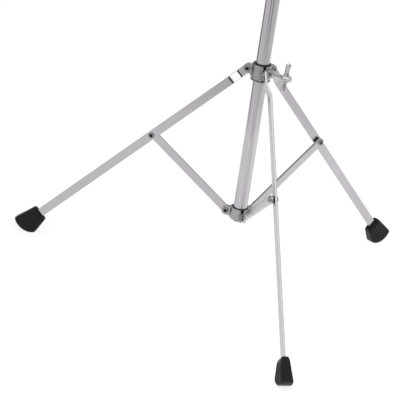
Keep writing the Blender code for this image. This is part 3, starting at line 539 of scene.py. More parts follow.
def plate(upper, lower, thickness, edge, fold, across=2, steps=3):
    """A flat plate with rounded rims, folded into place. Its section at each pair of points of the two outlines
    runs over one face, round the rim, over the other face and round the other rim. On the rim the outline is
    inset by edge (1 - cos a) at the height half the thickness less edge (1 - sin a)."""
    up_normal, low_normal = outward(upper, lower)
    turn = np.linspace(math.pi / 2, 0, steps + 1)
    inset = np.concatenate([[1.5 * edge], edge * (1 - np.cos(turn))])
    rise = np.concatenate([[thickness / 2], thickness / 2 - edge + edge * np.sin(turn)])
    rim = list(zip(inset, rise)) + list(zip(inset[::-1], -rise[::-1]))
    share = np.linspace(0, 1, across + 1)[1:-1]
    top_upper, top_lower = upper - up_normal * inset[0], lower - low_normal * inset[0]
    columns = [(upper - up_normal * depth, height) for depth, height in rim]
    columns += [(top_upper + (top_lower - top_upper) * part, -thickness / 2) for part in share]
    columns += [(lower - low_normal * depth, height) for depth, height in reversed(rim)]
    columns += [(top_lower + (top_upper - top_lower) * part, thickness / 2) for part in share]
    flat = np.stack([place for place, _ in columns], 1)
    height = np.repeat(np.array([height for _, height in columns])[None], len(upper), 0)
    return shell(fold(flat[..., 0], flat[..., 1], height))


def ramp_shape(part, blend=0.25):
    """A straight ramp from 0 to 1 with a parabola at each end: its height, and its slope."""
    part = np.clip(part, 0, 1)
    scale = 1 / (1 - blend)
    height = np.where(part < blend, part ** 2 * scale / (2 * blend),
                      np.where(part > 1 - blend, 1 - (1 - part) ** 2 * scale / (2 * blend),
                               (part - blend / 2) * scale))
    slope = np.where(part < blend, part * scale / blend,
                     np.where(part > 1 - blend, (1 - part) * scale / blend, scale))
    return height, slope


def bar_outline(width, end, stations, round_end, heel, power):
    """The two halves of a flat bar's outline: half a superellipse about the pivot, x = -heel cos(a)^power and
    y = half sin(a)^power, straight sides, and a half circle or a square end."""
    half = width / 2
    turn = np.linspace(0, math.pi / 2, 11)
    x = list(-heel * np.cos(turn) ** power) + list(stations)
    y = list(half * np.sin(turn) ** power) + [half] * len(stations)
    if round_end:
        x += list(end - half + half * np.sin(turn))
        y += list(half * np.cos(turn))
    else:
        x += [end, end]
        y += [half, 0.0]
    upper = np.stack([x, y], -1)
    return upper, upper * (1, -1)


# Frames of the stand's parts

def radial_plane(azimuth, radius=0.0, height=0.0):
    """X outward, Y up, Z to the right of one who looks outward."""
    angle = math.radians(azimuth)
    outward_way = Vector((math.cos(angle), math.sin(angle), 0))
    right = Vector((math.sin(angle), -math.cos(angle), 0))
    turn = Matrix((outward_way, Vector((0, 0, 1)), right)).transposed().to_4x4()
    return Matrix.Translation(Vector(AXIS) + outward_way * radius + Vector((0, 0, height))) @ turn


def level_axis(azimuth, height):
    """Z outward from the tube's axis, X down."""
    turn = Matrix.Rotation(math.radians(azimuth), 4, "Z") @ Matrix.Rotation(math.pi / 2, 4, "Y")
    return Matrix.Translation(Vector(AXIS) + Vector((0, 0, height))) @ turn


def azimuth_of(leg):
    away = np.array(JOINTS[f"leg_fold_{leg}"]["pos_m"])[:2] - AXIS[:2]
    return math.degrees(math.atan2(away[1], away[0]))


def upright(height=0.0):
    return Matrix.Translation(Vector(AXIS) + Vector((0, 0, height)))


def span(node):
    """Lowest and highest point of a CAD node."""
    low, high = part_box(node)
    return float(low[2]), float(high[2])


def girth(node, axis=0):
    """Half the width of a CAD node along X or Y."""
    low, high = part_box(node)
    return float(high[axis] - low[axis]) / 2


def ring(outer, inner, low, high):
    """Corners of a ring's section."""
    return [(outer, low), (outer, high), (inner, high), (inner, low)]


def tube_ring(outer, inner, low, high, hold=0.0015):
    """Corners of a long tube's section, with a point near each end that keeps the wall's shading straight."""
    return [(outer, low), (outer, low + hold), (outer, high - hold), (outer, high), (inner, high),
            (inner, high - hold), (inner, low + hold), (inner, low)]


def clamp_axis(joint):
    """Z outward along a clamp's bolt from the tube's axis, X down."""
    axis = JOINTS[joint]["axis"]
    return level_axis(math.degrees(math.atan2(axis[1], axis[0])), JOINTS[joint]["pos_m"][2])


def tilt_axis():
    """Z along +X at the tilter, X down."""
    return level_axis(0.0, JOINTS["tilt"]["pos_m"][2])


# Tubes

def make_tubes(sizes):
    """Both round tubes, the plug under the lower one and the guide bush inside it."""
    low, high = span("base_tube")
    wall = sizes.tube_wall
    piece("tube_lower", [turned(tube_ring(TUBE_RADIUS, TUBE_RADIUS - wall, low, high), upright(), 0.00035, 96)],
          "tube_plating", "base", "base_tube")
    low, high = span("upper_tube")
    radius = girth("upper_tube")
    piece("tube_upper", [turned(tube_ring(radius, radius - wall, low, high), upright(), 0.0003, 96)],
          "tube_plating", "mast", "upper_tube")
    bottom, top = span("base_tube_plug")
    bore = TUBE_RADIUS - wall - CLEARANCE
    shoulder = bottom + 0.0025
    plug = [(0, bottom), (TUBE_RADIUS, bottom), (TUBE_RADIUS, shoulder), (bore, shoulder), (bore, top), (0, top)]
    piece("tube_plug", [turned(plug, upright(), 0.0008)], "black_plastic", "base", "base_tube_plug")
    bottom, top = span("upper_tube_guide")
    outer, inner, neck = girth("upper_tube_guide"), 0.0050, radius - wall - CLEARANCE
    middle = (bottom + top) / 2
    bush = [(inner, bottom), (outer, bottom), (outer, middle), (neck, middle), (neck, top), (inner, top)]
    piece("tube_guide", [turned(bush, upright(), 0.0004)], "nylon", "mast", "upper_tube_guide")


# Pressed plates

def plan_path(first, sizes):
    """A plate's middle line in plan: straight flange, bend, wrap round the tube, bend, straight flange. The
    heading is the sum of the turns so far, and the place is the sum of its cosines and sines."""
    flange_run = PIVOT_RADIUS + sizes.ear_radius - BEND_X
    bend = math.pi / 2 - BEND_LIFT
    wrap = 2 * math.pi / 3 - 2 * BEND_LIFT
    lengths = np.array([flange_run, BEND_RADIUS * bend, WRAP_RADIUS * wrap, BEND_RADIUS * bend, flange_run])
    turns = np.array([0, -bend, wrap, -bend, 0])
    marks = np.concatenate([[0], np.cumsum(lengths)])
    along = np.linspace(0, marks[-1], 1201)
    heading = math.pi + np.interp(along, marks, np.concatenate([[0], np.cumsum(turns)]))
    step = along[1] - along[0]
    middle = (heading[1:] + heading[:-1]) / 2
    x = PIVOT_RADIUS + sizes.ear_radius + np.concatenate([[0], np.cumsum(np.cos(middle))]) * step
    y = FLANGE_RADIUS + np.concatenate([[0], np.cumsum(np.sin(middle))]) * step
    turn = math.radians(first)
    cos, sin = math.cos(turn), math.sin(turn)
    return marks, along, x * cos - y * sin, x * sin + y * cos, heading + turn


def shoulder(bend, low, high, fillet):
    """The step of a plate's edge from its ear to its wrap: a hollow quarter circle, then a full one."""
    hollow = min(fillet, 0.75 * abs(high - low))
    corner = min(abs(high - low) - hollow, 0.0012)
    way = math.copysign(1, high - low)
    turn = np.linspace(0, math.pi / 2, 8)
    first = np.stack([bend - hollow + hollow * np.sin(turn), low + way * hollow * (1 - np.cos(turn))], -1)
    last = np.stack([bend + corner * (1 - np.cos(turn)), high - way * corner * (1 - np.sin(turn))], -1)
    return np.concatenate([first, last])


def plate_outline(marks, height, pivot, sizes):
    """The plate laid flat, as its upper and lower edges: a round ear at each end, a hollow corner over and under
    it, and the full height round the tube."""
    radius, bend, middle = sizes.ear_radius, marks[1], marks[-1] / 2
    turn = np.linspace(0, math.pi / 2, 14)
    ear = np.stack([radius * (1 - np.cos(turn)), radius * np.sin(turn)], -1)
    halves = []
    for way, far in ((1, height), (-1, 0.0)):
        step = shoulder(bend, pivot + way * radius, far, sizes.ear_fillet)
        x = np.concatenate([np.linspace(step[-1, 0], marks[2], 9)[1:], np.linspace(marks[2], middle, 12)[1:]])
        halves.append(np.concatenate([ear * (1, way) + (0, pivot), step, np.stack([x, np.full(len(x), far)], -1)]))
    mirror = np.array([marks[-1], 0.0])
    return tuple(np.concatenate([half, (mirror + half * (-1, 1))[-2::-1]]) for half in halves)


def make_plates(place, body, bottom, height, pivot, sizes):
    """The three pressed plates of the collar or the bracket."""
    names = ("front_right", "rear", "front_left")
    for name, leg in zip(names, LEGS):
        marks, along, x, y, heading = plan_path(azimuth_of(leg), sizes)
        upper, lower = plate_outline(marks, height, pivot, sizes)

        def fold(run, rise, depth):
            spot = np.stack([np.interp(run, along, values) for values in (x, y, heading)], -1)
            return np.stack([AXIS[0] + spot[..., 0] - depth * np.sin(spot[..., 2]),
                             AXIS[1] + spot[..., 1] + depth * np.cos(spot[..., 2]), bottom + rise], -1)
        skin = plate(upper, lower, sizes.plate_thickness, sizes.plate_edge, fold, 4)
        piece(f"{place}_pressing_{name}", [skin], "plate_plating", body, f"{place}_plate_{name}")


# Rivets

def rolled_head(base, side, radius, height):
    """Corners of a hollow rivet's head from its rim to the axis: a rolled rim that is half an ellipse over the
    share of the radius outside the mouth, and a dished mouth."""
    mouth = 0.46 * radius
    angle = np.linspace(0.10, math.pi, 14)
    rim = [((radius + mouth) / 2 + (radius - mouth) / 2 * math.cos(a), base + side * height * math.sin(a))
           for a in angle]
    floor = base + side * 0.15 * height
    return [(radius, base), *rim[:-1], (mouth, floor + side * 0.1 * height), (0.92 * mouth, floor), (0, floor)]


def rivet(matrix, low, high, sizes, low_head=True, high_head=True):
    """A rivet between two faces, with a domed head at either end."""
    shank = 0.6 * sizes.rivet_radius
    profile = []
    profile += rolled_head(low, -1, sizes.rivet_radius, sizes.rivet_height)[::-1] if low_head else [(0, low)]
    profile += [(shank, low), (shank, high)]
    profile += rolled_head(high, 1, sizes.rivet_radius, sizes.rivet_height) if high_head else [(0, high)]
    points, quads, maps = lathe(profile, matrix, 48)
    # The map's first number is the distance from the axis, so that the rivets' finish can paint shade into the mouth.
    away = np.repeat(np.array(profile)[:, 0], 48)
    maps[..., 0] = away[quads]
    return points, quads, maps


def make_pivot_rivets(place, body, height, sizes):
    face = FLANGE_RADIUS + sizes.plate_thickness / 2 + TOUCH
    for leg in LEGS:
        matrix = radial_plane(azimuth_of(leg), PIVOT_RADIUS, height)
        piece(f"{place}_pivot_{leg}", [rivet(matrix, -face, face, sizes)], "rivet_steel", body,
              f"{place}_rivet_{leg}")


# Legs and struts

def bar_frame(leg, height, rise):
    """X along the bar, which rises outward by rise, and Y across it."""
    return radial_plane(azimuth_of(leg), PIVOT_RADIUS, height) @ Matrix.Rotation(rise, 4, "Z")


def leg_offset(sizes):
    return (sizes.strut_thickness + sizes.leg_thickness) / 2 + sizes.spacer + 2 * CLEARANCE


def leg_bar(matrix, sizes):
    """Flat bar whose middle plane steps sideways between two bends: z = -offset ramp(x), with the thickness laid
    off along the normal of that curve."""
    end = sizes.leg_length + sizes.socket
    start, run, offset = sizes.joggle_start, sizes.joggle_length, leg_offset(sizes)
    stations = [*np.linspace(0, start, 5)[1:-1], *np.linspace(start, start + run, 41),
                *np.linspace(start + run, end, 14)[1:-1]]
    upper, lower = bar_outline(sizes.leg_width, end, stations, False, sizes.leg_heel, 0.48)

    def fold(x, y, depth):
        step, slope = ramp_shape((x - start) / run)
        slope = np.where((x > start) & (x < start + run), -offset * slope / run, 0)
        size = np.sqrt(1 + slope ** 2)
        return placed(np.stack([x - depth * slope / size, y, depth / size - offset * step], -1), matrix)
    return plate(upper, lower, sizes.leg_thickness, sizes.bar_edge, fold, 3, 5)


def strut_bar(matrix, sizes):
    """Flat bar with both ends round."""
    end = sizes.strut_length + sizes.strut_overhang
    upper, lower = bar_outline(sizes.strut_width, end, np.linspace(0, end, 12)[1:-1], True, sizes.strut_width / 2, 1)
    return plate(upper, lower, sizes.strut_thickness, sizes.bar_edge,
                 lambda x, y, depth: placed(np.stack([x, y, depth], -1), matrix), 3, 5)


def make_leg(leg, sizes):
    """A leg's bar, and its half of the riveted joint with the strut."""
    matrix = bar_frame(leg, COLLAR_PIVOT_Z, OPEN_SPREAD - math.pi / 2)
    piece(f"leg_bar_{leg}", [leg_bar(matrix, sizes)], "bar_plating", f"leg_{leg}", f"leg_{leg}")
    joint = matrix @ Matrix.Translation((sizes.leg_rivet, 0, -leg_offset(sizes)))
    face = sizes.leg_thickness / 2
    top = face + 2 * CLEARANCE + sizes.spacer - TOUCH
    piece(f"leg_joint_{leg}", [rivet(joint, -face - TOUCH, top, sizes, high_head=False)], "rivet_steel",
          f"leg_{leg}", f"leg_rivet_{leg}")
    washer = turned(ring(0.0055, 0.0033, face + TOUCH, top), joint, 0.0004)
    piece(f"leg_washer_{leg}", [washer], "black_plastic", f"leg_{leg}", f"leg_spacer_{leg}")


def make_strut(leg, sizes):
    """A strut's bar, and the joint's head on its free face."""
    lean = math.asin(sizes.leg_rivet * math.sin(OPEN_SPREAD) / sizes.strut_length)
    matrix = bar_frame(leg, BRACKET_PIVOT_Z, math.pi / 2 - lean)
    piece(f"strut_bar_{leg}", [strut_bar(matrix, sizes)], "bar_plating", f"strut_{leg}", f"strut_{leg}")
    face = sizes.strut_thickness / 2
    joint = matrix @ Matrix.Translation((sizes.strut_length, 0, 0))
    piece(f"strut_joint_{leg}", [rivet(joint, -face, face + TOUCH, sizes, low_head=False)], "rivet_steel",
          f"strut_{leg}", f"strut_rivet_{leg}")


# Feet

def foot_skin(matrix, sizes):
    """A moulded foot. At each share of the way down from its top to its curved sole, the middle plane's edge runs
    from the straight top edge to the sole's arc, and the section is a superellipse whose wide faces carry
    flutes: half thickness times (1 - |2a - 1|^n)^(1/n), less the flutes' depth. The top corners are rounded by
    a narrowing of 0.14 (1 - sqrt(1 - (1 - t)^2)) over the first rows."""
    down = np.array([0, 0, 0.006, 0.018, 0.04, 0.08, *np.linspace(0.14, 0.90, 22), *(0.9 + 0.1 * np.sin(
        np.linspace(0, math.pi / 2, 9)[1:])), 1.0])
    fill = np.array([0, 0.84, 0.93, 0.98, 1, 1, *np.ones(22), *(0.80 + 0.20 * np.cos(
        np.linspace(0, math.pi / 2, 9)[1:])), 0.0])
    across = 0.5 - 0.5 * np.cos(np.linspace(0, math.pi, 85))
    side = np.concatenate([np.ones(85), -np.ones(83)])
    across = np.concatenate([across, across[-2:0:-1]])
    fan = FOOT_FAN[0] + (FOOT_FAN[1] - FOOT_FAN[0]) * across
    top = np.stack([np.full(len(across), sizes.leg_length), sizes.foot_width * (across - 0.5)], -1)
    sole = np.stack([sizes.leg_length + sizes.sole_depth + sizes.sole_radius * np.cos(fan),
                     sizes.sole_offset + sizes.sole_radius * np.sin(fan)], -1)
    flat = top + (sole - top) * down[:, None, None]
    flat[..., 1] *= 0.86 + 0.14 * np.sqrt(1 - (1 - np.clip(down / 0.09, 0, 1)) ** 2)[:, None]
    growth = np.clip((down - 0.14) / 0.86, 0, 1)
    half = np.where(down < 0.14, sizes.foot_top + (sizes.foot_shoulder - sizes.foot_top) * down / 0.14,
                    sizes.foot_shoulder + (sizes.sole_thickness - sizes.foot_shoulder) * growth) / 2
    edge = (1 - np.abs(2 * across - 1) ** 6) ** (1 / 6)
    groove = (0.5 + 0.5 * np.cos(2 * math.pi * sizes.flutes * across)) ** 1.6
    depth = sizes.flute_depth * np.clip(2.2 * down, 0, 1) * np.clip((1 - down) / 0.08, 0, 1)
    height = (half * fill)[:, None] * edge - depth[:, None] * groove * (edge > 0.6) * (fill > 0)[:, None]
    points = np.concatenate([flat, (side * np.maximum(height, 0) - leg_offset(sizes))[..., None]], -1)
    return shell(placed(points, matrix))


def foot_lip(matrix, sizes):
    """The rubber lip round the bar where it enters the foot: a rounded oblong, swept and rounded at its top."""
    turn = np.linspace(0, 2 * math.pi, 72, endpoint=False)
    cos, sin = np.cos(turn), np.sin(turn)
    wide = np.sign(cos) * np.abs(cos) ** 0.35
    deep = np.sign(sin) * np.abs(sin) ** 0.35
    rows = np.array([(0.0, 0.0010), (0.0004, 0.0016), (-0.0009, 0.0016), (-0.0013, 0.0011), (-0.0013, -0.0001),
                     (0.0, -0.0001)])
    x = sizes.leg_length + np.repeat(rows[:, :1], len(turn), 1)
    y = (sizes.leg_width / 2 + rows[:, 1:]) * wide
    z = (sizes.leg_thickness / 2 + rows[:, 1:]) * deep - leg_offset(sizes)
    return shell(placed(np.stack([x, y, z], -1), matrix), ring_rows=True)


def make_foot(leg, sizes):
    matrix = bar_frame(leg, COLLAR_PIVOT_Z, OPEN_SPREAD - math.pi / 2)
    piece(f"foot_rubber_{leg}", [foot_skin(matrix, sizes), foot_lip(matrix, sizes)], "rubber", f"leg_{leg}",
          f"foot_{leg}", crease=50.0)


# Wing bolts and bosses

def wings(matrix, across, width, thickness):
    """Both wings as one bar across the hub: its section is a superellipse whose width and thickness change with
    the distance u from the hub, wide at the root, waisted, full at the lobe and closing as a half circle at
    the tip."""
    reach = across / 2
    u = reach * np.sin(np.linspace(-math.pi / 2, math.pi / 2, 91))
    away = np.abs(u)
    tip = np.clip((away - (reach - width / 2)) / (width / 2), 0, 1)
    closing = np.sqrt(np.maximum(1 - tip ** 2, 0))
    waist = 0.84 + 0.16 * np.clip((away - 0.35 * reach) / (0.4 * reach), 0, 1) ** 1.5
    root = np.exp(-((away - 0.0048) / 0.0030) ** 2) * (away > 0.0048) + (away <= 0.0048)
    half_width = width / 2 * (waist * closing + 0.22 * root)
    half_depth = thickness / 2 * (np.sqrt(closing) * (0.92 + 0.30 * root))
    splay = -0.0016 * (away / reach) ** 2 * np.sign(u)
    turn = np.linspace(0, 2 * math.pi, 40, endpoint=False)
    cos, sin = np.cos(turn), np.sin(turn)
    points = np.stack([np.repeat(u[:, None], 40, 1), half_depth[:, None] * (np.sign(sin) * np.abs(sin) ** 0.62),
                       half_width[:, None] * (np.sign(cos) * np.abs(cos) ** 0.75) + splay[:, None]], -1)
    return shell(placed(points, matrix))


def wing_bolt(name, body, node, matrix, radius, tip, neck, across, sizes):
    """Threaded shank, hub with rounded shoulders and a shallow dimple, and both wings."""
    end = neck + sizes.hub_length
    hub = sizes.hub_radius
    barrel = [(0, neck), (0.92 * hub, neck), (hub, neck + 0.0020), (0.97 * hub, end - 0.0016), (0.72 * hub, end),
              (0.34 * hub, end), (0.24 * hub, end - 0.0006), (0, end - 0.0006)]
    shank = threaded(radius, 0.00055, sizes.thread_pitch, tip, neck + 0.001, matrix)
    lift = matrix @ Matrix.Translation((0, 0, neck + sizes.wing_setback))
    piece(name, [shank, turned(barrel, matrix, 0.0009, 64, 5), wings(lift, across, sizes.wing_width,
          sizes.wing_thickness)], "casting", body, node, crease=40.0)


def boss(matrix, outer, inner, end, seat):
    """A round boss on a tube: its foot lies on the tube, at the height sqrt(seat^2 - y^2) above the axis."""
    turn = np.linspace(0, 2 * math.pi, 72, endpoint=False)
    rows = [(inner, 0.0), (outer * 1.10, 0.0), (outer * 1.02, 0.18), (outer, 0.40), (outer, 0.90), (outer * 0.985,
            0.97), (outer * 0.94, 1.0), (inner * 1.12, 1.0), (inner, 0.96)]
    radius = np.array([row[0] for row in rows])[:, None]
    share = np.array([row[1] for row in rows])[:, None]
    x, y = radius * np.cos(turn), radius * np.sin(turn)
    base = np.sqrt(np.maximum(seat ** 2 - y ** 2, 0)) - TOUCH
    return shell(placed(np.stack([x, y, base + (end - base) * share], -1), matrix), ring_rows=True)


def make_collar(sizes):
    """The sliding collar with its split liner, boss and wing bolt."""
    bottom, top = span("collar_plate_rear")
    make_plates("collar", "collar", bottom, sizes.collar_height, sizes.collar_pivot, sizes)
    make_pivot_rivets("collar", "collar", COLLAR_PIVOT_Z, sizes)
    low, high = span("collar_liner")
    inner, outer = TUBE_RADIUS + CLEARANCE, WRAP_RADIUS - sizes.plate_thickness / 2 - TOUCH
    rim = TUBE_RADIUS + CLEARANCE + 0.0014 + sizes.liner_rim
    over, under = top + CLEARANCE, bottom - CLEARANCE
    foot = under - sizes.skirt_height
    shells = [split_ring(inner, outer, (low + under) / 2, (over + high) / 2, sizes),
              split_ring(inner, rim, over, high, sizes, 0.0006)]
    piece("collar_bush", shells, "black_plastic", "collar", "collar_liner")
    skirt = split_ring(inner, sizes.liner_skirt, foot, under, sizes, 0.0008)
    piece("collar_bush_flange", [skirt], "plate_plating", "collar")
    axis = clamp_axis("collar_screw_turn")
    seat = WRAP_RADIUS + sizes.plate_thickness / 2
    end = seat + sizes.boss_depth
    piece("collar_nut_boss", [boss(axis, sizes.boss_radius, sizes.bolt_radius + 0.0003, end, seat)],
          "plate_plating", "collar", "collar_boss", crease=50.0)
    wing_bolt("collar_thumbscrew", "collar_screw", "collar_wing_bolt", axis, sizes.bolt_radius, TUBE_RADIUS + 0.0003,
              end + sizes.collar_neck, sizes.wing_span, sizes)


def split_ring(inner, outer, low, high, sizes, edge=0.0003):
    """A ring with a slot opposite the clamp's bolt: a flat strip rolled about the tube."""
    middle = (inner + outer) / 2
    axis = JOINTS["collar_screw_turn"]["axis"]
    start = math.atan2(-abs(axis[1]), abs(axis[0])) + math.pi + sizes.liner_slot / 2 / middle
    length_round = 2 * math.pi * middle - sizes.liner_slot
    upper, lower = strip_outline(length_round, low, high, 96)

    def roll(run, height, depth):
        angle, radius = start + run / middle, middle + depth
        return np.stack([AXIS[0] + radius * np.cos(angle), AXIS[1] + radius * np.sin(angle), height], -1)
    return plate(upper, lower, outer - inner, edge, roll)


def strip_outline(run, low, high, count):
    """The two edges of a plain strip, from the middle of one end to the middle of the other."""
    middle = (low + high) / 2
    x = np.concatenate([[0, 0], np.linspace(0, run, count)[1:-1], [run, run]])
    return tuple(np.stack([x, np.concatenate([[middle], np.full(count, edge), [middle]])], -1)
                 for edge in (high, low))


def make_bracket(sizes):
    """The fixed bracket at the tube's foot, on its black sleeve."""
    bottom, _ = span("bracket_plate_rear")
    make_plates("bracket", "base", bottom, sizes.bracket_height, sizes.bracket_pivot, sizes)
    make_pivot_rivets("bracket", "base", BRACKET_PIVOT_Z, sizes)
    low, high = span("bracket_sleeve")
    sleeve = ring(WRAP_RADIUS - sizes.plate_thickness / 2 - TOUCH, TUBE_RADIUS + TOUCH, low, high)
    piece("bracket_bush", [turned(sleeve, upright(), 0.0005)], "black_plastic", "base", "bracket_sleeve")


def make_height_clamp(sizes):
    """The clamp at the lower tube's top, its liner and its wing bolt."""
    axis = clamp_axis("height_screw_turn")
    low, high = span("height_clamp")
    bore = TUBE_RADIUS + TOUCH
    outer = TUBE_RADIUS + CLEARANCE + sizes.clamp_wall
    step = (high - low) * 0.5
    body = [(bore, low), (outer, low), (outer, high), (bore, high)]
    groove = 0.0004
    rings = [(bore, low), (outer, low), (outer, low + 0.0040), (outer - groove, low + 0.0046),
             (outer - groove, low + 0.0056), (outer, low + 0.0062), (outer, high - 0.0050),
             (outer - groove, high - 0.0044), (outer - groove, high - 0.0034), (outer, high - 0.0028), (outer, high),
             (bore, high)]
    end = outer + sizes.boss_depth
    shells = [turned(rings, upright(), 0.0008, 96), boss(axis, sizes.boss_radius, sizes.bolt_radius + 0.0003, end,
              outer)]
    piece("height_sleeve", shells, "plate_plating", "base", "height_clamp", crease=50.0)
    bottom, top = span("height_clamp_liner")
    inner, rim, seat = girth("upper_tube") + CLEARANCE, girth("height_clamp_liner"), high + TOUCH
    liner = [(inner, bottom), (bore - TOUCH * 2, bottom), (bore - TOUCH * 2, seat), (rim, seat), (rim, top),
             (inner, top)]
    piece("height_bush", [turned(liner, upright(), 0.0004)], "nylon", "base", "height_clamp_liner")
    wing_bolt("height_thumbscrew", "height_screw", "height_wing_bolt", axis, sizes.bolt_radius,
              girth("upper_tube") + 0.0003, end + sizes.height_neck, sizes.wing_span, sizes)


# Tilter and stud

def neck(first, last, first_half, last_half, first_power, last_power, matrix):
    """A cast neck between two sections: centre, half sizes and the superellipse's power run from one section to
    the other by a smooth step."""
    part = np.linspace(0, 1, 25)
    eased = part * part * (3 - 2 * part)
    turn = np.linspace(0, 2 * math.pi, 72, endpoint=False)
    power = 2 / (first_power + (last_power - first_power) * eased)[:, None]
    half = np.array(first_half) + (np.array(last_half) - np.array(first_half)) * eased[:, None]
    centre = np.array(first) + (np.array(last) - np.array(first)) * np.stack([eased, eased, part], -1)
    cos, sin = np.cos(turn)[None], np.sin(turn)[None]
    x = centre[:, :1] + half[:, :1] * np.sign(cos) * np.abs(cos) ** power
    y = centre[:, 1:2] + half[:, 1:] * np.sign(sin) * np.abs(sin) ** power
    points = np.stack([x, y, np.repeat(centre[:, 2:], len(turn), 1)], -1)
    ends = [points[k:k + 1] * (0, 0, 1) + (*points[k].mean(0)[:2], 0) for k in (0, -1)]
    return shell(placed(np.concatenate([ends[0], points, ends[1]]), matrix))


def disc(matrix, side, near, far, radius, bore):
    """A friction disc: a stepped rim, a dished outer face and a raised ring round the bolt."""
    rim = side * 0.0012
    corners = [(bore, near), (radius, near), (radius, far - 2 * rim), (radius - 0.0010, far - 1.2 * rim),
               (radius - 0.0022, far - 1.2 * rim), (radius - 0.0032, far - 1.9 * rim), (bore + 0.0034, far - 1.9 * rim),
               (bore + 0.0026, far), (bore, far)]
    return turned(corners, matrix, 0.0006, 96, 4)


def make_tilter(sizes):
    """Both halves of the tilter with their washer, the nut and the wing bolt."""
    axis = tilt_axis()
    pivot = upright(JOINTS["tilt"]["pos_m"][2])
    radius = girth("tilter_washer", 1)
    near, far, bore = 0.0005 + TOUCH, 0.0083, 0.0033
    tube_top = span("upper_tube")[1] - JOINTS["tilt"]["pos_m"][2]
    tube = girth("upper_tube")
    head_top = span("tilter_head")[1] - JOINTS["tilt"]["pos_m"][2]
    plug = turned([(0, tube_top - 0.0115), (tube - sizes.tube_wall - CLEARANCE, tube_top - 0.0115),
                   (tube - sizes.tube_wall - CLEARANCE, tube_top + TOUCH), (tube, tube_top + TOUCH),
                   (tube, tube_top + 0.0035), (0, tube_top + 0.0035)], pivot, 0.0005)
    lower_neck = neck((0, 0, tube_top + 0.0028), (-0.0044, 0, -0.0045), (tube - 0.0002, tube - 0.0002),
                      (0.0036, 0.0105), 2, 4, pivot)
    piece("tilter_lower", [disc(axis, -1, -near, -far, radius, bore), plug, lower_neck], "casting", "mast",
          "tilter_base", crease=45.0)
    platform = turned([(0.0043, head_top - 0.0048), (0.0095, head_top - 0.0048), (0.0095, head_top),
                       (0.0043, head_top)], pivot, 0.0007)
    upper_neck = neck((0.0044, 0, 0.0045), (0, 0, head_top - 0.0044), (0.0036, 0.0105), (0.0092, 0.0092), 4, 2,
                      pivot)
    piece("tilter_upper", [disc(axis, 1, near, far, radius, bore), platform, upper_neck], "casting", "tilt_head",
          "tilter_head", crease=45.0)
    piece("tilter_friction_washer", [turned(ring(radius, bore, -0.0005, 0.0005), axis, 0.0002)], "black_plastic",
          "mast", "tilter_washer")
    nut_low = -far - 0.0003 - 0.0060
    piece("tilter_hexagon", [hexagon(0.0100, nut_low, nut_low + 0.0062, 0.0031, axis)], "casting", "mast",
          "tilter_nut")
    wing_bolt("tilter_thumbscrew", "tilt_screw", "tilter_wing_bolt", axis, 0.0030, -far - 0.0070, far + 0.0040,
              0.0360, sizes)


def make_stud(sizes):
    """The threaded stud, its nut and the washer that a practice pad is screwed down on."""
    low, high = span("pad_stud")
    piece("stud_thread", [threaded(0.0040, 0.0006, sizes.thread_pitch, low, high, upright())], "casting",
          "tilt_head", "pad_stud", crease=40.0)
    low, high = span("pad_nut")
    piece("stud_hexagon", [hexagon(0.0130, low, high, 0.0042, upright())], "casting", "tilt_head", "pad_nut")
    low, high = span("pad_washer")
    piece("stud_washer", [turned(ring(0.0140, 0.0043, low, high), upright(), 0.0007)], "casting", "tilt_head",
          "pad_washer")


# Stage

def floor_material(view):
    """White paper: mostly its own light, so that it stays nearly white, and a part that takes soft shadow. Its
    light grows towards the right edge."""
    material, shader, surface = principled("paper_floor")
    parts = shader.node("ShaderNodeSeparateXYZ", {}, shader.node("ShaderNodeTexCoord", {}, output=3))
    x, y = (Value(shader, parts.socket.node.outputs[k]) for k in range(2))
    across = x * math.cos(view.azimuth) + y * math.sin(view.azimuth)
    glow = shader.ramp((across + view.paper_left) / (view.paper_left + view.paper_right), (0.0, 0.79), (0.47, 0.79),
                       (1.0, 0.96))
    settle(shader, surface, Base_Color=(0.28, 0.28, 0.28), Roughness=0.95, Specular_IOR_Level=0.0,
           Emission_Color=glow)
    surface.inputs["Emission Strength"].default_value = 1.0
    return material


def make_floor(view):
    """A strip of paper along the view: x from side to side and y from its front edge to its back edge, turned by
    the view's azimuth."""
    across, along = np.meshgrid(np.linspace(-view.paper_left, view.paper_right, 7),
                                np.linspace(-view.paper_front, view.paper_back, 13), indexing="ij")
    cos, sin = math.cos(view.azimuth), math.sin(view.azimuth)
    points = np.stack([across * cos - along * sin, across * sin + along * cos, np.zeros(across.shape)], -1)
    points, quads, _ = shell(points, ring_columns=False)
    mesh = bpy.data.meshes.new("floor")
    mesh.from_pydata(points.tolist(), [], quads.tolist())
    work = bmesh.new()
    work.from_mesh(mesh)
    bmesh.ops.reverse_faces(work, faces=[face for face in work.faces if face.normal.z < 0])
    work.to_mesh(mesh)
    work.free()
    mesh.materials.append(floor_material(view))
    floor = bpy.data.objects.new("floor", mesh)
    bpy.context.scene.collection.objects.link(floor)


